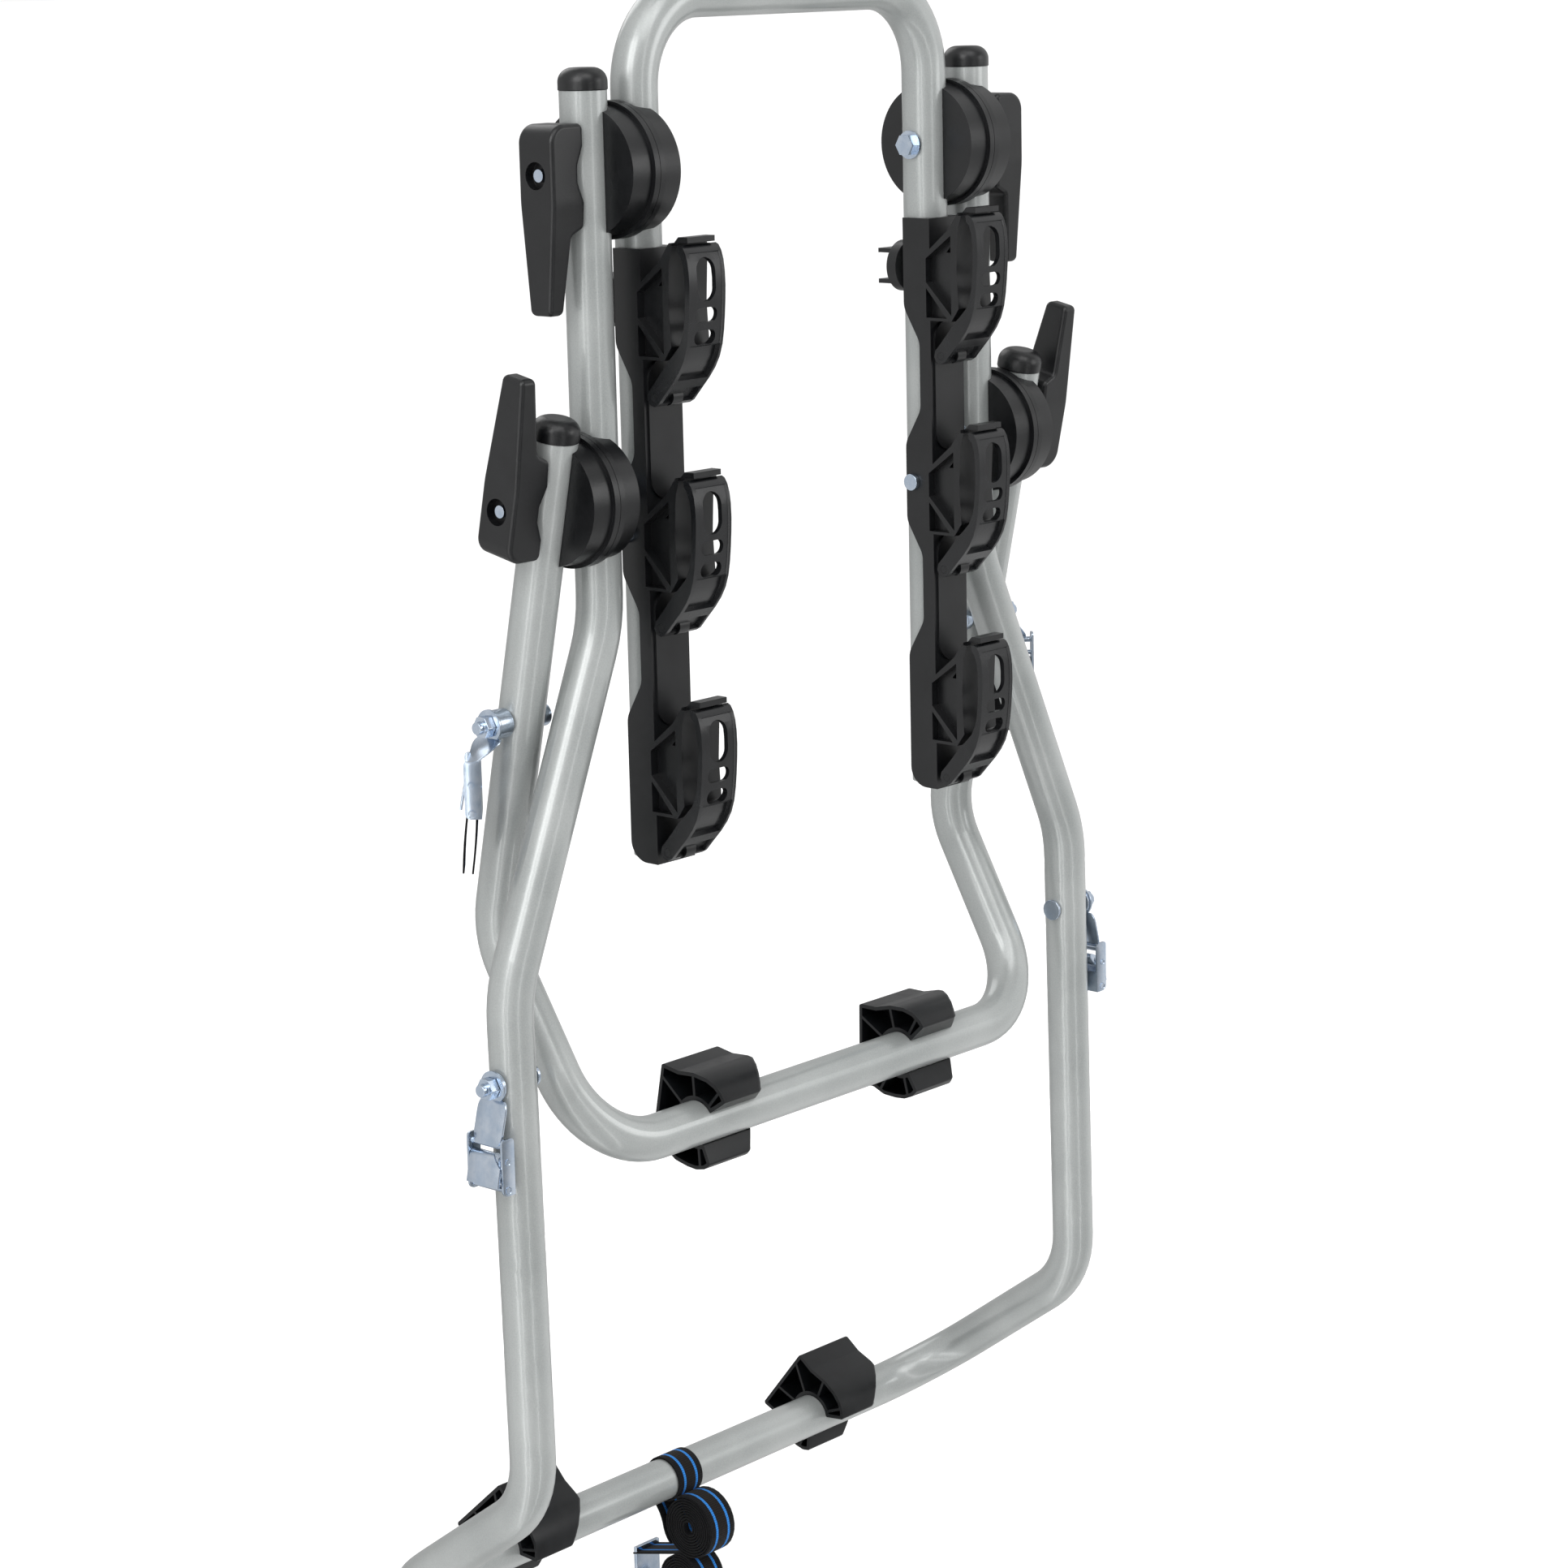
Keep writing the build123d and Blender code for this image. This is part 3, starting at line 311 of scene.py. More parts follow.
def webbing():
    material, tree, shader = startMaterial("wovenPolyester", weave["shader"])
    uv = addNode(tree, "ShaderNodeUVMap", {"uv_map": "alongTape"}).outputs["UV"]
    place = addNode(tree, "ShaderNodeSeparateXYZ", {}, {"Vector": uv})
    waves = []
    for way, spacing in (("X", weave["pick"]), ("Y", weave["yarn"])):
        turns = {"operation": "MULTIPLY", 1: 2 * pi * perMetre(2 * spacing)}
        angle = addNode(tree, "ShaderNodeMath", turns, {0: place.outputs[way]})
        waves.append(addNode(tree, "ShaderNodeMath", {"operation": "SINE"}, {0: angle.outputs[0]}))
    both = {0: waves[0].outputs[0], 1: waves[1].outputs[0]}
    crossing = addNode(tree, "ShaderNodeMath", {"operation": "MULTIPLY"}, both)
    height = addNode(tree, "ShaderNodeMath", {"operation": "ABSOLUTE"}, {0: crossing.outputs[0]})
    half = weave["wide"] / 2
    toMiddle = {"operation": "SUBTRACT", 1: half / 1000}
    centred = addNode(tree, "ShaderNodeMath", toMiddle, {0: place.outputs["Y"]})
    fromMiddle = addNode(tree, "ShaderNodeMath", {"operation": "ABSOLUTE"}, {0: centred.outputs[0]})
    toShare = {"operation": "MULTIPLY", 1: perMetre(half)}
    share = addNode(tree, "ShaderNodeMath", toShare, {0: fromMiddle.outputs[0]})
    bands = addNode(tree, "ShaderNodeValToRGB", {}, {"Fac": share.outputs[0]})
    ramp = bands.color_ramp
    ramp.interpolation = "CONSTANT"
    ramp.elements[0].color = linear(weave["middle"])
    ramp.elements[1].position = (weave["lineAt"] - weave["lineWide"] / 2) / half
    ramp.elements[1].color = linear(weave["line"])
    ramp.elements.new((weave["lineAt"] + weave["lineWide"] / 2) / half).color = linear(weave["edge"])
    # the yarn colours are multiplied by painted shade where the weave is low and a faint painted highlight
    # where it is high, from the same height as the bump
    limits = {"To Min": weave["paintedWeaveShade"][0], "To Max": weave["paintedWeaveShade"][1]}
    paintedWeaveShade = addNode(tree, "ShaderNodeMapRange", limits, {"Value": height.outputs[0]})
    dyedAndShaded = {0: bands.outputs["Color"], 1: paintedWeaveShade.outputs["Result"]}
    colour = addNode(tree, "ShaderNodeVectorMath", {"operation": "MULTIPLY"}, dyedAndShaded)
    tree.links.new(colour.outputs["Vector"], shader.inputs["Base Color"])
    lift = {"Strength": weave["bump"], "Distance": weave["depth"]}
    bump = addNode(tree, "ShaderNodeBump", lift, {"Height": height.outputs[0]})
    tree.links.new(bump.outputs["Normal"], shader.inputs["Normal"])
    return material


# Seamless studio paper, calendered: a matt warm white with a barely seen fibre cloud
paperLook = {
    "shader": {"Roughness": 0.9, "Specular IOR Level": 0.1},
    "fibre": 400.0,
    "dark": "#F8F8F8",
    "light": "#FEFEFE",
}


def studioPaper():
    material, tree, shader = startMaterial("studioPaper", paperLook["shader"])
    place = {"Vector": addNode(tree, "ShaderNodeTexCoord").outputs["Object"]}
    cloud = addNode(tree, "ShaderNodeTexNoise", {"Scale": perMetre(paperLook["fibre"]), "Detail": 3.0}, place)
    colour = addNode(tree, "ShaderNodeValToRGB", {}, {"Fac": cloud.outputs["Fac"]})
    colour.color_ramp.elements[0].color = linear(paperLook["dark"])
    colour.color_ramp.elements[1].color = linear(paperLook["light"])
    tree.links.new(colour.outputs["Color"], shader.inputs["Base Color"])
    return material


finishes = {
    "silver_powder_coat": powderCoat(),
    "black_nylon": nylon(),
    "black_rubber": rubber("strapRubber"),
    "black_rubber_pad": rubber("padRubber"),
    "zinc_steel": zincPlate(),
    "black_webbing": webbing(),
}
for part in frame["record"]["subparts"]:
    node = frame["nodes"][part["node"]]
    node.data.materials.clear()
    node.data.materials.append(finishes[part["material_slot"]])
print("stage: materials set")

# Live rounding of the moulded and pressed solids: widths in metres by finish, angles in degrees.
# All the rubber solids are replaced further on, so they need none
softEdge = {
    "widths": {"black_nylon": 0.0006, "zinc_steel": 0.0004},
    "steps": 2,
    "sharpFrom": 38.0,
    "flatBelow": 0.3,
    "normalWeight": 70,
}
# Points nearer than these, in metres, become one, and faces flatter than so many degrees do too
joining = {"gap": 0.00001, "sliver": 0.00002, "flatBelow": 0.5}


def softenEdges(node, width):
    # joins the loose triangles, clears the flat faces' inner edges and rounds each sharp edge
    weld = node.modifiers.new("weld", "WELD")
    weld.merge_threshold = joining["gap"]
    flat = node.modifiers.new("flat", "DECIMATE")
    flat.decimate_type = "DISSOLVE"
    flat.angle_limit = radians(softEdge["flatBelow"])
    rounding = node.modifiers.new("rounding", "BEVEL")
    rounding.width = width
    rounding.segments = softEdge["steps"]
    rounding.limit_method = "ANGLE"
    rounding.angle_limit = radians(softEdge["sharpFrom"])
    rounding.use_clamp_overlap = True
    rounding.harden_normals = False
    normals = node.modifiers.new("normals", "WEIGHTED_NORMAL")
    normals.keep_sharp = False
    normals.weight = softEdge["normalWeight"]


for part in frame["record"]["subparts"]:
    if part["material_slot"] in softEdge["widths"]:
        softenEdges(frame["nodes"][part["node"]], softEdge["widths"][part["material_slot"]])
print("stage: edges rounded")


def clearSelection():
    # nothing else stays selected, so the next operators act on the new piece alone
    if bpy.context.object and bpy.context.object.mode == "EDIT":
        bpy.ops.object.mode_set(mode="OBJECT")
    bpy.ops.object.select_all(action="DESELECT")


def workOn(piece):
    clearSelection()
    piece.select_set(True)
    bpy.context.view_layer.objects.active = piece


selectModes = {
    "points": (True, False, False),
    "edges": (False, True, False),
    "faces": (False, False, True),
}


def choose(piece, kind, wanted):
    # leaves the piece in edit mode with only the wanted points, edges or faces selected
    workOn(piece)
    bpy.ops.object.mode_set(mode="EDIT")
    bpy.context.tool_settings.mesh_select_mode = selectModes[kind]
    bpy.ops.mesh.select_all(action="DESELECT")
    bpy.ops.object.mode_set(mode="OBJECT")
    mesh = piece.data
    for element in {"points": mesh.vertices, "edges": mesh.edges, "faces": mesh.polygons}[kind]:
        element.select = wanted(element)
    bpy.ops.object.mode_set(mode="EDIT")


def settle(piece):
    # place, turn and size go into the mesh
    workOn(piece)
    bpy.ops.object.transform_apply(location=True, rotation=True, scale=True)


def cutWith(piece, cutter):
    cut = piece.modifiers.new("cut", "BOOLEAN")
    cut.operation = "DIFFERENCE"
    cut.solver = "EXACT"
    cut.object = cutter
    workOn(piece)
    bpy.ops.object.modifier_apply(modifier="cut")
    bpy.data.objects.remove(cutter)


def roundSharp(piece, width, steps, sharpFrom):
    # rounds every edge sharper than so many degrees, for good
    rounding = piece.modifiers.new("rounding", "BEVEL")
    rounding.width = width
    rounding.segments = steps
    rounding.limit_method = "ANGLE"
    rounding.angle_limit = radians(sharpFrom)
    workOn(piece)
    bpy.ops.object.modifier_apply(modifier="rounding")


def closeSlivers(piece):
    # clears the empty strips that a rounding leaves where it had no room
    workOn(piece)
    bpy.ops.object.mode_set(mode="EDIT")
    bpy.ops.mesh.select_all(action="SELECT")
    bpy.ops.mesh.remove_doubles(threshold=joining["sliver"])
    bpy.ops.mesh.dissolve_degenerate(threshold=joining["gap"])
    bpy.ops.object.mode_set(mode="OBJECT")


# The webbing tape, in metres and degrees
tape = {
    "wide": 0.025,
    "thick": 0.0013,
    "cellsAcross": 4,
    "selvage": 0.0005,
    "selvageSteps": 2,
    "sharpFrom": 60.0,
    "smoothBelow": 50.0,
    "sway": 0.0003,
    "swayTurns": 5.3,
}


def layTape(name, route, direction, closed=False):
    # a row of edges across the tape is pulled along the route, then gets its thickness and edges
    clearSelection()
    bpy.ops.mesh.primitive_grid_add(
        x_subdivisions=tape["cellsAcross"],
        y_subdivisions=1,
        size=tape["wide"],
        location=(0, 0, 0),
    )
    piece = bpy.context.object
    piece.name = name
    choose(piece, "points", lambda point: point.co.y > 0)
    bpy.ops.mesh.delete(type="VERT")
    bpy.ops.mesh.select_all(action="SELECT")
    bpy.ops.transform.translate(value=(0, tape["wide"] / 2, 0))
    bpy.ops.object.mode_set(mode="OBJECT")
    turn = Vector((1, 0, 0)).rotation_difference(direction)
    piece.data.transform(Matrix.Translation(route[0]) @ turn.to_matrix().to_4x4())
    bpy.ops.object.mode_set(mode="EDIT")
    bpy.ops.mesh.select_all(action="SELECT")
    for here, there in zip(route, route[1:]):
        bpy.ops.mesh.extrude_region_move(TRANSFORM_OT_translate={"value": there - here})
    bpy.ops.object.mode_set(mode="OBJECT")
    pointsAcross = tape["cellsAcross"] + 1
    lengths = [0.0]
    for here, there in zip(route, route[1:]):
        lengths.append(lengths[-1] + (there - here).length)
    tapeUv = piece.data.uv_layers.new(name="alongTape")
    piece.data.uv_layers.active = tapeUv
    for corner in piece.data.loops:
        step = corner.vertex_index // pointsAcross
        sideways = (piece.data.vertices[corner.vertex_index].co - route[step]).dot(direction)
        tapeUv.data[corner.index].uv = (lengths[step], sideways + tape["wide"] / 2)
    if closed:
        bpy.ops.object.mode_set(mode="EDIT")
        bpy.ops.mesh.select_all(action="SELECT")
        bpy.ops.mesh.remove_doubles(threshold=joining["gap"])
        bpy.ops.object.mode_set(mode="OBJECT")
    for old in [layer.name for layer in piece.data.uv_layers if layer.name != "alongTape"]:
        piece.data.uv_layers.remove(piece.data.uv_layers[old])
    wall = piece.modifiers.new("wall", "SOLIDIFY")
    wall.thickness = tape["thick"]
    wall.offset = 0
    bpy.ops.object.modifier_apply(modifier="wall")
    roundSharp(piece, tape["selvage"], tape["selvageSteps"], tape["sharpFrom"])
    bpy.ops.object.shade_smooth_by_angle(angle=radians(tape["smoothBelow"]))
    return piece


# Both rolls wind inwards in half turns, as the tape does when it is rolled by hand. The lower
# one's last ply runs straight down to the hook. In metres and degrees
rolls = {
    "upper": {"y": -0.024, "z": -0.0315, "outer": 0.024, "endAt": 60.0, "ply": 0.0},
    "lower": {"y": -0.0145, "z": -0.0751, "outer": 0.0215, "endAt": 75.0, "ply": 0.0438},
    "pitch": 0.002,
    "core": 0.005,
    "skin": 0.00075,
    "stepsPerHalf": 14,
    "stepsOfPly": 8,
}


def rollRoute(roll):
    middle = Vector((0, roll["y"], roll["z"]))
    endAt = radians(roll["endAt"])
    outwards = Vector((0, cos(endAt), sin(endAt)))
    onwards = Vector((0, -sin(endAt), cos(endAt)))
    start = roll["outer"] - rolls["skin"]
    halves = int(2 * (roll["outer"] - rolls["core"]) / rolls["pitch"])
    steps = rolls["stepsPerHalf"]
    flatPoints = []
    if roll["ply"]:
        run = rolls["stepsOfPly"]
        flatPoints += [(start, -roll["ply"] * (1 - step / run)) for step in range(run)]
    x = start
    for half in range(halves):
        r = start - (2 * half + 1) * rolls["pitch"] / 4
        sign = 1 if half % 2 == 0 else -1
        centre = x - sign * r
        for step in range(steps):
            turn = pi * step / steps
            flatPoints.append((centre + sign * r * cos(turn), sign * r * sin(turn)))
        x -= 2 * sign * r
    route = []
    for n, (u, v) in enumerate(flatPoints):
        sway = tape["sway"] * sin(n / (2 * steps) * tape["swayTurns"]) if n > 2 * steps else 0
        route.append(middle + u * outwards + v * onwards + Vector((sway, 0, 0)))
    return route


def routeLength(route):
    return sum((there - here).length for here, there in zip(route, route[1:]))


# The loop lies round the bar, in metres. The tape's second ply leaves it behind the bar and is
# sewn on to the roll: its points are in millimetres
loopRound = {"radius": 0.01595, "steps": 48}
loopNeck = [
    (16.9, -3.0), (16.2, -6.6), (14.9, -10.0), (12.6, -14.4), (9.7, -18.8), (6.8, -22.8), (4.3, -26.6),
    (2.6, -30.2), (1.4, -33.8), (0.6, -37.6), (-0.8, -41.6), (-3.0, -45.3), (-5.8, -48.6),
]
alongBar = Vector((1, 0, 0))
loopRoute = []
for step in range(loopRound["steps"] + 1):
    turn = 2 * pi * step / loopRound["steps"]
    loopRoute.append(Vector((0, loopRound["radius"] * cos(turn), loopRound["radius"] * sin(turn))))
upperRoute = rollRoute(rolls["upper"])
upperRoll = layTape("webbingRollUpper", upperRoute, alongBar)
barLoop = layTape("webbingLoop", loopRoute, alongBar, closed=True)
neckRoute = [Vector((0, y / 1000, z / 1000)) for y, z in loopNeck]
neck = layTape("webbingNeck", neckRoute, alongBar)
lowerRoute = rollRoute(rolls["lower"])
lowerRoll = layTape("webbingRollLower", lowerRoute, alongBar)
for piece, route, nodes in (
    (upperRoll, upperRoute, ["strap_roll_upper"]),
    (barLoop, loopRoute, ["strap_roll_upper"]),
    (neck, neckRoute, ["strap_roll_upper"]),
    (lowerRoll, lowerRoute, ["strap_roll_lower"]),
):
    piece.data.materials.append(finishes["black_webbing"])
    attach(piece, "main_frame")
    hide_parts(*nodes)
    print("webbing piece", piece.name, "length", round(routeLength(route), 3))
print("stage: webbing rolls wound")

# The two short ends in the upper buckles are threaded over the frame's lower bar and lean out:
# metres and degrees
webEnd = {
    "x": 0.27146,
    "y": -0.10388,
    "z": 0.5595,
    "turn": 45.0,
    "wrap": 0.00295,
    "wrapSteps": 8,
    "ply": 0.0395,
    "plySteps": 10,
    "bow": 0.0005,
    "lean": 6.0,
}


def webEndRoute(side):
    turn = radians(webEnd["turn"])
    lean = radians(webEnd["lean"])
    bar = Vector((side * webEnd["x"], webEnd["y"], webEnd["z"]))
    outwards = Vector((side * cos(turn), sin(turn), 0))
    down = outwards * sin(lean) - Vector((0, 0, cos(lean)))
    wide = outwards * cos(lean) + Vector((0, 0, sin(lean)))
    inner = []
    outer = []
    for step in range(webEnd["plySteps"] + 1):
        share = step / webEnd["plySteps"]
        bow = webEnd["bow"] * sin(pi * share)
        inner.append(bar - wide * (webEnd["wrap"] + bow) + down * webEnd["ply"] * share)
        outer.append(bar + wide * (webEnd["wrap"] + bow) + down * webEnd["ply"] * share)
    overBar = []
    for step in range(1, webEnd["wrapSteps"]):
        past = pi * step / webEnd["wrapSteps"]
        overBar.append(bar - wide * webEnd["wrap"] * cos(past) - down * webEnd["wrap"] * sin(past))
    return inner[::-1] + overBar + outer


for name, side in (("left", -1), ("right", 1)):
    route = webEndRoute(side)
    turn = radians(webEnd["turn"])
    piece = layTape("webbingEnd_" + name, route, Vector((-side * sin(turn), cos(turn), 0)))
    piece.data.materials.append(finishes["black_webbing"])
    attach(piece, "support_buckle_" + name)
    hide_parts("support_web_" + name)
print("stage: webbing ends hung, length", round(routeLength(route), 3))

# The moulded rubber straps over the cradles, in millimetres from the hub line and the cradle's
# middle: down the front from the top edge, round the eye on the rail's pin and up the inner side
strap = {
    "front": [
        (48.6, 36.8), (51.0, 37.2), (53.4, 36.0), (55.6, 32.4), (57.3, 27.0), (58.2, 20.0),
        (58.5, 11.0), (58.1, 2.0), (57.3, -8.0), (56.3, -17.0), (54.7, -26.0), (52.0, -34.0),
        (48.0, -41.0), (42.8, -47.6), (37.4, -53.4), (32.6, -58.6), (29.0, -62.6),
    ],
    "eye": [(25.2, -64.6), (21.4, -63.2), (19.5, -59.6), (20.6, -55.4)],
    "inner": [
        (26.0, -49.6), (31.5, -43.2), (37.3, -36.2), (43.0, -31.0), (48.2, -25.6), (51.4, -19.0),
        (53.0, -12.0), (53.9, -4.0), (54.4, 6.0), (54.4, 16.0), (53.6, 24.0), (51.6, 30.0), (49.0, 33.0),
    ],
    "startPlane": 10.0,
    "slices": [2.0, 1.2, 9.0, 8.6, 9.0, 1.2, 2.0],
    "hollows": [
        {"low": -22.0, "high": 31.0, "wall": 0.4, "depth": 0.7},
        {"low": -47.0, "high": -26.0, "wall": 0.8, "depth": 3.2},
        {"low": -61.5, "high": -54.0, "wall": 0.8, "depth": 2.6},
    ],
    "facingFront": 0.3,
    "facingDown": 0.8,
    "openings": [
        {"z": 15.5, "high": 27.5, "wide": 17.0},
        {"z": -6.5, "high": 9.2, "wide": 20.0},
        {"z": -20.6, "high": 9.2, "wide": 19.0},
    ],
    "openingReach": 54.0,
    "openingDepth": 24.0,
    "roundSteps": 40,
    "pin": {"reach": 25.2, "z": -59.0, "r": 2.65, "length": 60.0, "lugHalf": 4.9, "lugR": 6.2},
    "softness": 0.7,
    "softSteps": 3,
    "sharpFrom": 40.0,
    "smoothBelow": 35.0,
    "hubLine": -138.0,
    "stations": [870.0, 723.3, 576.6],
    "sideways": 141.0,
}


def openingCutter(opening):
    # a cylinder through the belly, half of it pulled up or sideways to make a slot
    run = opening["high"] - opening["wide"]
    way = 2 if run > 0 else 0
    middle = [0, -strap["openingReach"], opening["z"]]
    middle[way] -= abs(run) / 2
    clearSelection()
    bpy.ops.mesh.primitive_cylinder_add(
        vertices=strap["roundSteps"],
        radius=min(opening["high"], opening["wide"]) / 2000,
        depth=strap["openingDepth"] / 1000,
        location=[part / 1000 for part in middle],
        rotation=(pi / 2, 0, 0),
    )
    cutter = bpy.context.object
    settle(cutter)
    choose(cutter, "points", lambda point: point.co[way] > middle[way] / 1000 - joining["gap"])
    pull = [0, 0, 0]
    pull[way] = abs(run) / 1000
    bpy.ops.transform.translate(value=pull)
    bpy.ops.object.mode_set(mode="OBJECT")
    return cutter


def makeStrap():
    outline = strap["front"] + strap["eye"] + strap["inner"]
    points = [Vector((0, -reach / 1000, z / 1000)) for reach, z in outline]
    # one corner of a small plane is drawn along the outline, filled and pulled out in slices
    clearSelection()
    bpy.ops.mesh.primitive_plane_add(size=strap["startPlane"] / 1000, location=(0, 0, 0))
    piece = bpy.context.object
    piece.name = "strapBody"
    choose(piece, "points", lambda point: point.index > 0)
    bpy.ops.mesh.delete(type="VERT")
    bpy.ops.mesh.select_all(action="SELECT")
    bpy.ops.object.mode_set(mode="OBJECT")
    start = piece.data.vertices[0].co.copy()
    bpy.ops.object.mode_set(mode="EDIT")
    bpy.ops.transform.translate(value=points[0] - start)
    for here, there in zip(points, points[1:]):
        bpy.ops.mesh.extrude_region_move(TRANSFORM_OT_translate={"value": there - here})
    bpy.ops.mesh.select_all(action="SELECT")
    bpy.ops.mesh.edge_face_add()
    half = sum(strap["slices"]) / 2000
    bpy.ops.transform.translate(value=(-half, 0, 0))
    for slab in strap["slices"]:
        bpy.ops.mesh.extrude_region_move(TRANSFORM_OT_translate={"value": (slab / 1000, 0, 0)})
    bpy.ops.mesh.select_all(action="SELECT")
    bpy.ops.mesh.remove_doubles(threshold=joining["gap"])
    bpy.ops.mesh.normals_make_consistent(inside=False)
    # between its rims the belly lies a little deeper, and two pockets are left under it
    inside = half - (strap["slices"][0] + strap["slices"][1] / 2) / 1000

    def inHollow(face, hollow):
        between = abs(face.center.x) < inside and hollow["low"] < face.center.z * 1000 < hollow["high"]
        return between and (face.normal.y < -strap["facingFront"] or face.normal.z < -strap["facingDown"])

    for hollow in strap["hollows"]:
        choose(piece, "faces", lambda face: inHollow(face, hollow))
        bpy.ops.mesh.inset(thickness=hollow["wall"] / 1000, depth=0)
        bpy.ops.transform.shrink_fatten(value=-hollow["depth"] / 1000)
        bpy.ops.object.mode_set(mode="OBJECT")
    for opening in strap["openings"]:
        cutWith(piece, openingCutter(opening))
    # the eye: a hole for the pin, and room for the rail's lug round it and behind it
    pin = strap["pin"]
    for radius, length in ((pin["r"], pin["length"]), (pin["lugR"], 2 * pin["lugHalf"])):
        clearSelection()
        bpy.ops.mesh.primitive_cylinder_add(
            vertices=strap["roundSteps"],
            radius=radius / 1000,
            depth=length / 1000,
            location=(0, -pin["reach"] / 1000, pin["z"] / 1000),
            rotation=(0, pi / 2, 0),
        )
        cutter = bpy.context.object
        settle(cutter)
        cutWith(piece, cutter)
    clearSelection()
    bpy.ops.mesh.primitive_cube_add(size=1, location=(0, -pin["reach"] / 2000, pin["z"] / 1000))
    notch = bpy.context.object
    notch.scale = (2 * pin["lugHalf"] / 1000, pin["reach"] / 1000, 2 * pin["lugR"] / 1000)
    settle(notch)
    cutWith(piece, notch)
    roundSharp(piece, strap["softness"] / 1000, strap["softSteps"], strap["sharpFrom"])
    closeSlivers(piece)
    bpy.ops.object.shade_smooth_by_angle(angle=radians(strap["smoothBelow"]))
    return piece


strapBody = makeStrap()
for name, side in (("left", -1), ("right", 1)):
    for n, z in enumerate(strap["stations"], 1):
        piece = strapBody.copy()
        piece.data = strapBody.data.copy()
        piece.name = "rubberStrap_" + name + "_" + str(n)
        scene.collection.objects.link(piece)
        place = (side * strap["sideways"] / 1000, strap["hubLine"] / 1000, z / 1000)
        piece.data.transform(Matrix.Translation(place))
        piece.data.materials.append(finishes["black_rubber"])
        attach(piece, "cradle_strap_" + name + "_" + str(n))
        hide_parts("cradle_strap_" + name + "_" + str(n))
bpy.data.objects.remove(strapBody)
print("stage: six rubber straps made,", len(piece.data.polygons), "faces each")

# The pads are hollow rubber mouldings with soft, drawn-over edges: each is a merged copy of its
# CAD solid whose long edges are rounded far more than its end walls. In metres and degrees
pad = {
    "bars": {"lower": (0, 0, 0), "support": (0, -0.155, 0.328)},
    "straight": 0.9,
    "longFrom": 0.03,
    "longTurn": 9.0,
    "longRound": 0.0034,
    "longSteps": 4,
    "farWithin": 0.024,
    "farFacing": 0.5,
    "farTurn": 30.0,
    "farRound": 0.0026,
    "farSteps": 4,
    "outerFrom": 0.019,
    "endRound": 0.0007,
    "endSteps": 2,
    "sharpFrom": 40.0,
    "smoothBelow": 32.0,
    "beadFrom": 0.029,
    "beadTo": 0.0342,
    "beadLean": 16.0,
}


def mergedCopy(name, newName):
    # a copy of a CAD solid whose loose triangles are joined and whose flat faces are whole
    source = frame["nodes"][name]
    piece = source.copy()
    piece.data = source.data.copy()
    for key in list(piece.keys()):
        del piece[key]
    piece.parent = None
    piece.modifiers.clear()
    piece.name = newName
    scene.collection.objects.link(piece)
    workOn(piece)
    if piece.data.has_custom_normals:
        bpy.ops.mesh.customdata_custom_splitnormals_clear()
    bpy.ops.object.mode_set(mode="EDIT")
    bpy.context.tool_settings.mesh_select_mode = selectModes["edges"]
    bpy.ops.mesh.select_all(action="SELECT")
    bpy.ops.mesh.remove_doubles(threshold=joining["gap"])
    bpy.ops.mesh.dissolve_limited(angle_limit=radians(joining["flatBelow"]))
    bpy.ops.object.mode_set(mode="OBJECT")
    return piece


def facesAtEdges(piece):
    # the normals of the faces that meet at each edge
    normals = {}
    for face in piece.data.polygons:
        for key in face.edge_keys:
            normals.setdefault(key, []).append(face.normal.copy())
    return normals


def degreesBetween(normals):
    # how far two faces turn at their edge. An edge of one face alone, or of three, is left out
    return normals[0].angle(normals[1], 0) * 180 / pi if len(normals) == 2 else 0


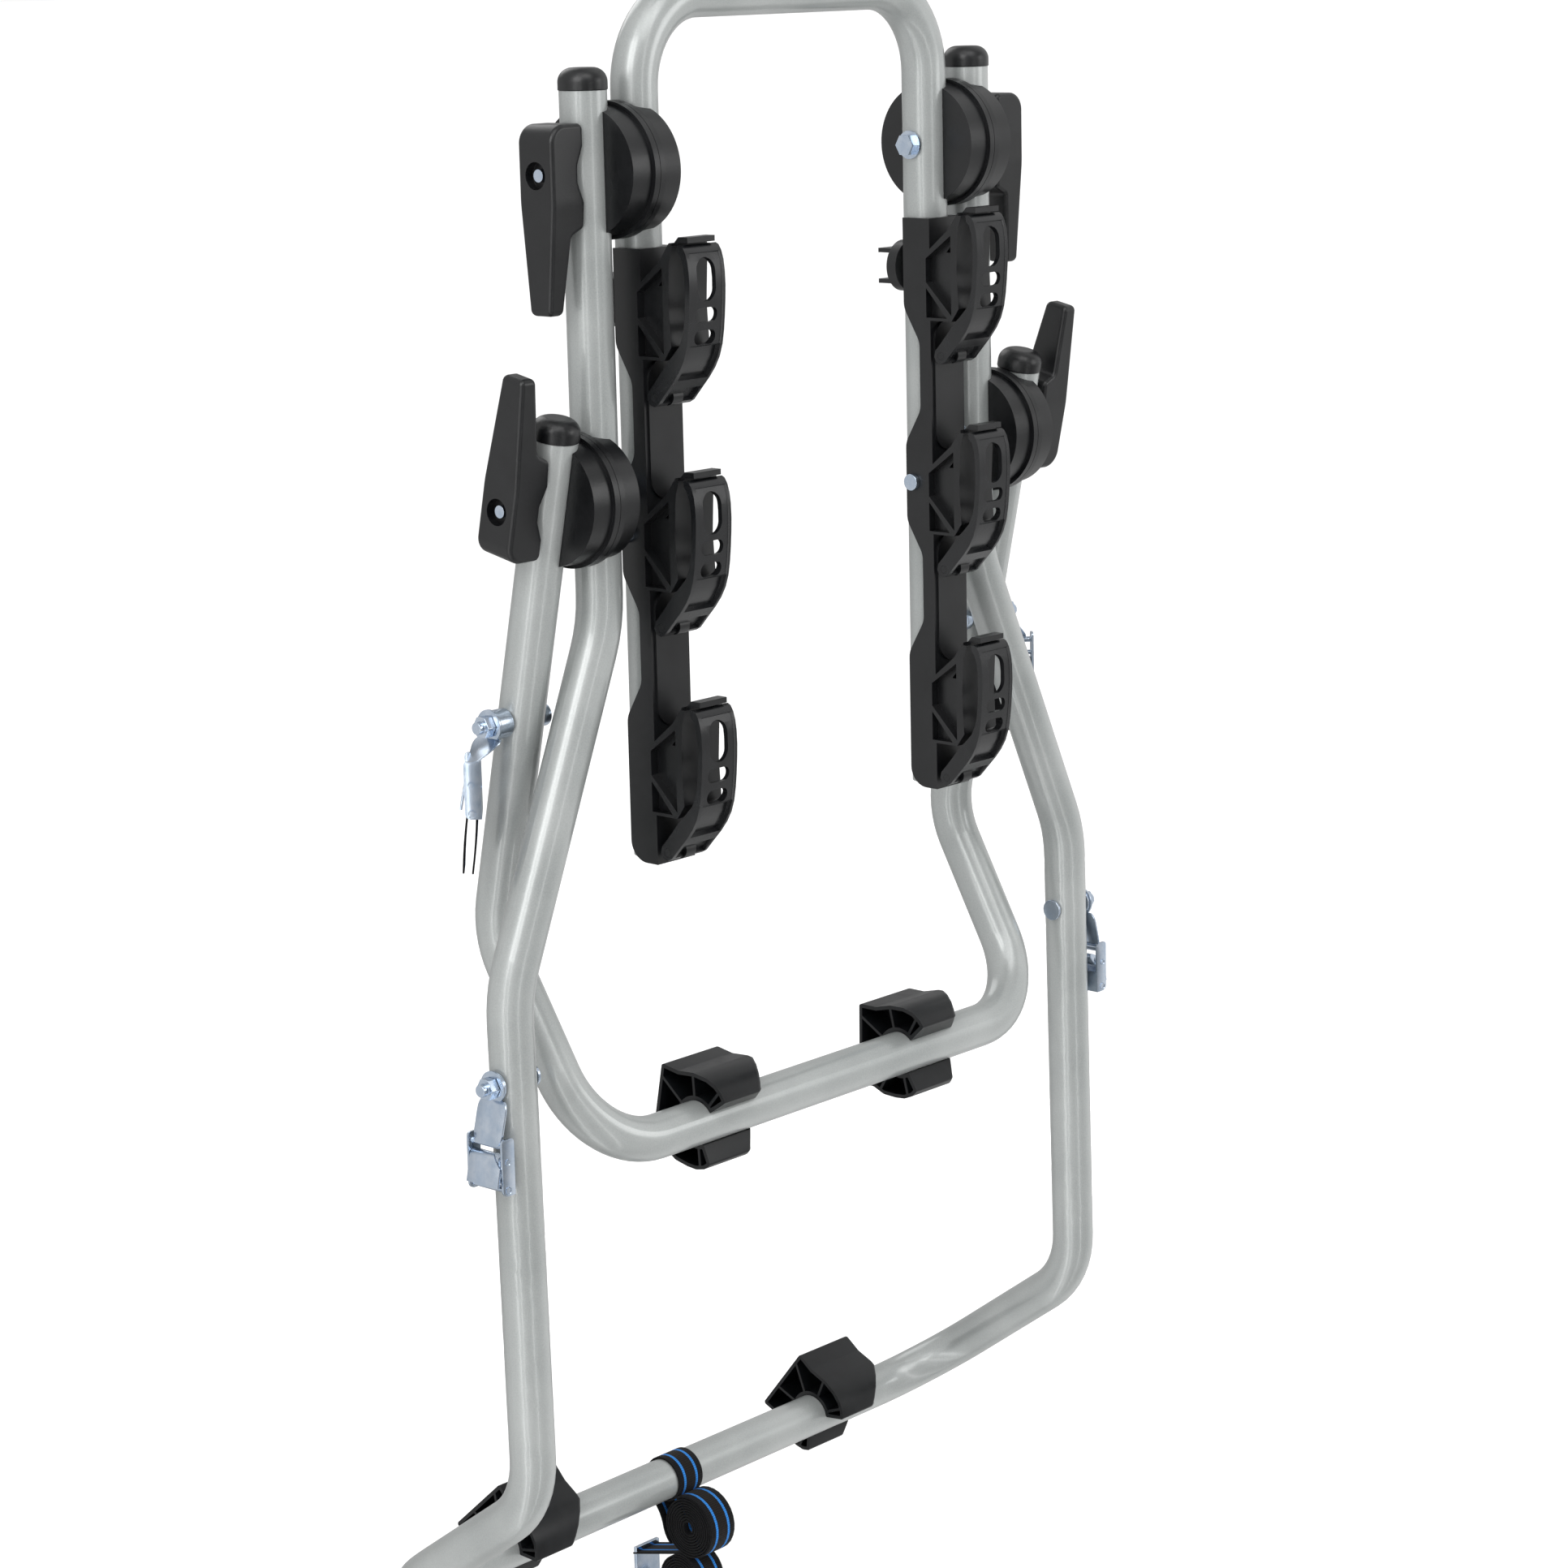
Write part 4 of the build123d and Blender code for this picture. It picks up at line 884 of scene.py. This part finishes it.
def makePad(name):
    piece = mergedCopy(name, "rubber_" + name)
    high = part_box(name)[1]
    middle = Vector(pad["bars"][name.split("_")[0]])
    normals = facesAtEdges(piece)

    def runsAlong(edge):
        a, b = (piece.data.vertices[n].co for n in edge.vertices)
        straight = abs((b - a).normalized().x) > pad["straight"] and (b - a).length > pad["longFrom"]
        return straight and degreesBetween(normals.get(edge.key, [])) > pad["longTurn"]

    choose(piece, "edges", runsAlong)
    bpy.ops.mesh.bevel(
        offset=pad["longRound"],
        segments=pad["longSteps"],
        affect="EDGES",
        clamp_overlap=True,
    )
    bpy.ops.object.mode_set(mode="OBJECT")
    # the far end's outer edges are rounded as if drawn over a block
    normals = facesAtEdges(piece)

    def atFarEnd(edge):
        a, b = (piece.data.vertices[n].co for n in edge.vertices)
        meeting = normals.get(edge.key, [])
        nearEnd = min(a.x, b.x) > high.x - pad["farWithin"]
        outer = min((a.yz - middle.yz).length, (b.yz - middle.yz).length) > pad["outerFrom"]
        turned = degreesBetween(meeting) > pad["farTurn"]
        return nearEnd and outer and turned and max(normal.x for normal in meeting) > pad["farFacing"]

    choose(piece, "edges", atFarEnd)
    bpy.ops.mesh.bevel(
        offset=pad["farRound"],
        segments=pad["farSteps"],
        affect="EDGES",
        clamp_overlap=False,
    )
    bpy.ops.object.mode_set(mode="OBJECT")
    roundSharp(piece, pad["endRound"], pad["endSteps"], pad["sharpFrom"])
    closeSlivers(piece)
    bpy.ops.object.shade_smooth_by_angle(angle=radians(pad["smoothBelow"]))
    # the bead's narrow flats are shaded as the one round that they follow
    shading = [corner.vector.copy() for corner in piece.data.corner_normals]
    for face in piece.data.polygons:
        reach = (face.center.yz - middle.yz).length
        if abs(face.normal.x) < pad["straight"] and pad["beadFrom"] < reach < pad["beadTo"]:
            for corner in face.loop_indices:
                spot = piece.data.vertices[piece.data.loops[corner].vertex_index].co - middle
                way = Vector((0, spot.y, spot.z)).normalized()
                slope = shading[corner].x
                level = Vector((0, shading[corner].y, shading[corner].z))
                if level.length and level.angle(way) < radians(pad["beadLean"]):
                    shading[corner] = Vector((slope, way.y * level.length, way.z * level.length))
    piece.data.normals_split_custom_set(shading)
    print("pad", name, "faces:", len(piece.data.polygons))
    return piece


for name in ("lower_pad_left", "lower_pad_right", "support_pad_left", "support_pad_right"):
    piece = makePad(name)
    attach(piece, name)
    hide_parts(name)
print("stage: four pads rounded")

# Pressed buckles: rounded cheeks with the dimpled ends of their pins, and a cam with one corner
# cut away. Places are those of the lower bar's middle, in metres; the rest is in millimetres
buckle = {
    "main": {"bar": (0.306, -0.14351, 0.3275), "turn": 0.0},
    "support": {"bar": (0.27146, -0.10388, 0.5595), "turn": 45.0},
    "halfWide": 16.0,
    "cheek": 1.6,
    "high": 37.0,
    "barFoot": 3.5,
    "pinAbove": 18.5,
    "footRound": 4.0,
    "topRound": 2.5,
    "cornerSteps": 5,
    "slack": 0.1,
    "straight": 0.98,
    "barHead": 2.5,
    "pinHead": 2.1,
    "headSteps": 24,
    "headFacing": 0.9,
    "proud": 0.5,
    "dimple": 0.7,
    "dimpleShare": 0.7,
    "cutAbove": 22.9,
    "cutHalf": 8.5,
    "cutLength": 30.0,
    "edge": 0.3,
    "edgeSteps": 2,
    "sharpFrom": 40.0,
    "smoothBelow": 35.0,
}


def pinEnd(place, way, radius):
    # a short round head on the cheek, with a dimple in its middle
    deep = 2 * buckle["proud"] / 1000
    clearSelection()
    bpy.ops.mesh.primitive_cylinder_add(
        vertices=buckle["headSteps"],
        radius=radius / 1000,
        depth=deep,
        location=place,
        rotation=Vector((0, 0, 1)).rotation_difference(way).to_euler(),
    )
    head = bpy.context.object
    settle(head)
    choose(head, "faces", lambda face: face.normal.dot(way) > buckle["headFacing"])
    bpy.ops.mesh.inset(thickness=buckle["dimple"] / 1000, depth=0)
    bpy.ops.transform.translate(value=way * -deep * buckle["dimpleShare"])
    bpy.ops.object.mode_set(mode="OBJECT")
    head.data.materials.append(finishes["zinc_steel"])
    return head


def finishSteel(piece):
    roundSharp(piece, buckle["edge"] / 1000, buckle["edgeSteps"], buckle["sharpFrom"])
    bpy.ops.object.shade_smooth_by_angle(angle=radians(buckle["smoothBelow"]))


def atCheekCorner(body, edge, bar, sideways, height):
    # a short edge through the outer cheek's thickness, at this height
    a, b = (body.data.vertices[n].co for n in edge.vertices)
    slack = buckle["slack"]
    through = abs((b - a).length * 1000 - buckle["cheek"]) < slack
    square = abs((b - a).normalized().dot(sideways)) > buckle["straight"]
    outside = abs((a - bar).dot(sideways)) * 1000 > buckle["halfWide"] - buckle["cheek"] - slack
    level = max(abs(a.z - height), abs(b.z - height)) * 1000 < slack
    return through and square and outside and level


def makeBuckle(kind, name, side):
    place = buckle[kind]
    bar = Vector((side * place["bar"][0], place["bar"][1], place["bar"][2]))
    turn = radians(place["turn"])
    sideways = Vector((-side * sin(turn), cos(turn), 0))
    outwards = Vector((side * cos(turn), sin(turn), 0))
    body = mergedCopy(kind + "_buckle_" + name, "steelBuckle_" + kind + "_" + name)
    foot = bar.z - buckle["barFoot"] / 1000
    top = foot + buckle["high"] / 1000
    for height, corner in ((foot, buckle["footRound"]), (top, buckle["topRound"])):
        choose(body, "edges", lambda edge: atCheekCorner(body, edge, bar, sideways, height))
        bpy.ops.mesh.bevel(
            offset=corner / 1000,
            segments=buckle["cornerSteps"],
            affect="EDGES",
            clamp_overlap=True,
        )
        bpy.ops.object.mode_set(mode="OBJECT")
    finishSteel(body)
    heads = []
    for above, radius in ((0.0, buckle["barHead"]), (buckle["pinAbove"], buckle["pinHead"])):
        for way in (sideways, -sideways):
            spot = bar + way * buckle["halfWide"] / 1000 + Vector((0, 0, above / 1000))
            heads.append(pinEnd(spot, way, radius))
    workOn(body)
    for head in heads:
        head.select_set(True)
    bpy.ops.object.join()
    # a square bar on its corner takes the cam's upper corner off
    cam = mergedCopy(kind + "_buckle_cam_" + name, "steelCam_" + kind + "_" + name)
    toCheek = sideways * (buckle["halfWide"] - buckle["cheek"]) / 1000
    cutAt = bar - toCheek + Vector((0, 0, buckle["cutAbove"] / 1000))
    clearSelection()
    bpy.ops.mesh.primitive_cube_add(size=1, location=(0, 0, 0))
    cutter = bpy.context.object
    half = buckle["cutHalf"] / 1000 * 2**0.5
    cutter.scale = (buckle["cutLength"] / 1000, half, half)
    settle(cutter)
    cutter.data.transform(Matrix.Rotation(pi / 4, 4, "X"))
    cutter.data.transform(Matrix.Rotation(-Vector((1, 0)).angle_signed(outwards.xy, 0), 4, "Z"))
    cutter.data.transform(Matrix.Translation(cutAt))
    cutWith(cam, cutter)
    finishSteel(cam)
    return body, cam


for kind in ("main", "support"):
    for name, side in (("left", -1), ("right", 1)):
        body, cam = makeBuckle(kind, name, side)
        for piece, node in ((body, kind + "_buckle_" + name), (cam, kind + "_buckle_cam_" + name)):
            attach(piece, node)
            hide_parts(node)
            print("buckle piece", node, "faces:", len(piece.data.polygons))
print("stage: four buckles finished")

# Floor, lights and surroundings, in metres, degrees and watts
stageLight = {
    "floorBelow": 0.004,
    "floorSide": 260.0,
    "sky": 0.96,
    "sunHigh": 4.0,
    "sunTurn": (38.0, 0.0, -20.0),
    "sunStrength": 0.8,
    "sunSoftness": 40.0,
    "aimAt": (0, -0.1, 0.5),
    "softBoxes": {
        "key": {"place": (-2.6, -1.0, 2.4), "size": 1.6, "watts": 28},
        "fill": {"place": (1.6, -2.6, 1.4), "size": 1.2, "watts": 14},
        "back": {"place": (0.8, 2.4, 2.6), "size": 1.8, "watts": 16},
    },
    # brightness of what the gloss reflects, by compass angle in shares of a turn from -X
    "panels": [
        (0.0, 1.0), (0.018, 1.0), (0.026, 4.5), (0.036, 4.5), (0.046, 0.7),
        (0.075, 0.5), (0.081, 4.5), (0.087, 4.5), (0.094, 0.5), (0.13, 0.6), (0.17, 0.35),
        (0.222, 0.25), (0.228, 3.5), (0.235, 3.5), (0.242, 0.25), (0.33, 0.35), (0.44, 1.0),
        (0.5, 0.9), (0.6, 0.5), (0.74, 0.35), (0.86, 0.85), (0.91, 0.75), (0.97, 1.0),
    ],
}


def setWorld():
    world = bpy.data.worlds.new("softStudio")
    world.use_nodes = True
    tree = world.node_tree
    tree.nodes.clear()
    way = addNode(tree, "ShaderNodeTexCoord").outputs["Generated"]
    aim = addNode(tree, "ShaderNodeSeparateXYZ", {}, {0: way})
    compass = {0: aim.outputs["Y"], 1: aim.outputs["X"]}
    turn = addNode(tree, "ShaderNodeMath", {"operation": "ARCTAN2"}, compass)
    wholeTurn = {"From Min": -pi, "From Max": pi}
    share = addNode(tree, "ShaderNodeMapRange", wholeTurn, {"Value": turn.outputs[0]})
    panels = addNode(tree, "ShaderNodeValToRGB", {}, {"Fac": share.outputs["Result"]})
    ramp = panels.color_ramp
    ramp.interpolation = "LINEAR"
    for n, (place, bright) in enumerate(stageLight["panels"]):
        element = ramp.elements[n] if n < 2 else ramp.elements.new(place)
        element.position = place
        element.color = (bright, bright, bright, 1)
    plain = addNode(tree, "ShaderNodeRGB")
    plain.outputs[0].default_value = [stageLight["sky"]] * 3 + [1]
    glossy = addNode(tree, "ShaderNodeLightPath").outputs["Is Glossy Ray"]
    # inputs 0, 6 and 7 are the factor and the two colours
    mixed = addNode(tree, "ShaderNodeMix", {"data_type": "RGBA"})
    tree.links.new(glossy, mixed.inputs[0])
    tree.links.new(plain.outputs[0], mixed.inputs[6])
    tree.links.new(panels.outputs["Color"], mixed.inputs[7])
    back = addNode(tree, "ShaderNodeBackground", {}, {"Color": mixed.outputs[2]})
    addNode(tree, "ShaderNodeOutputWorld", {}, {"Surface": back.outputs[0]})
    scene.world = world


def setStage():
    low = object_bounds()[0][2] - stageLight["floorBelow"]
    clearSelection()
    bpy.ops.mesh.primitive_plane_add(size=stageLight["floorSide"], location=(0, 0, low))
    floor = bpy.context.object
    floor.name = "paleFloor"
    floor.data.materials.append(studioPaper())
    floor.visible_glossy = False
    bpy.ops.object.light_add(
        type="SUN",
        location=(0, 0, stageLight["sunHigh"]),
        rotation=[radians(angle) for angle in stageLight["sunTurn"]],
    )
    sun = bpy.context.object
    sun.name = "ceilingSoftBox"
    sun.data.energy = stageLight["sunStrength"]
    sun.data.angle = radians(stageLight["sunSoftness"])
    for name, box in stageLight["softBoxes"].items():
        bpy.ops.object.light_add(type="AREA", location=box["place"])
        light = bpy.context.object
        light.name = name + "SoftBox"
        light.data.size = box["size"]
        light.data.energy = box["watts"]
        aim = Vector(stageLight["aimAt"]) - Vector(box["place"])
        light.rotation_euler = aim.to_track_quat("-Z", "Y").to_euler()


setWorld()
setStage()
scene.view_settings.view_transform = "Standard"
print("stage: floor and lights set")
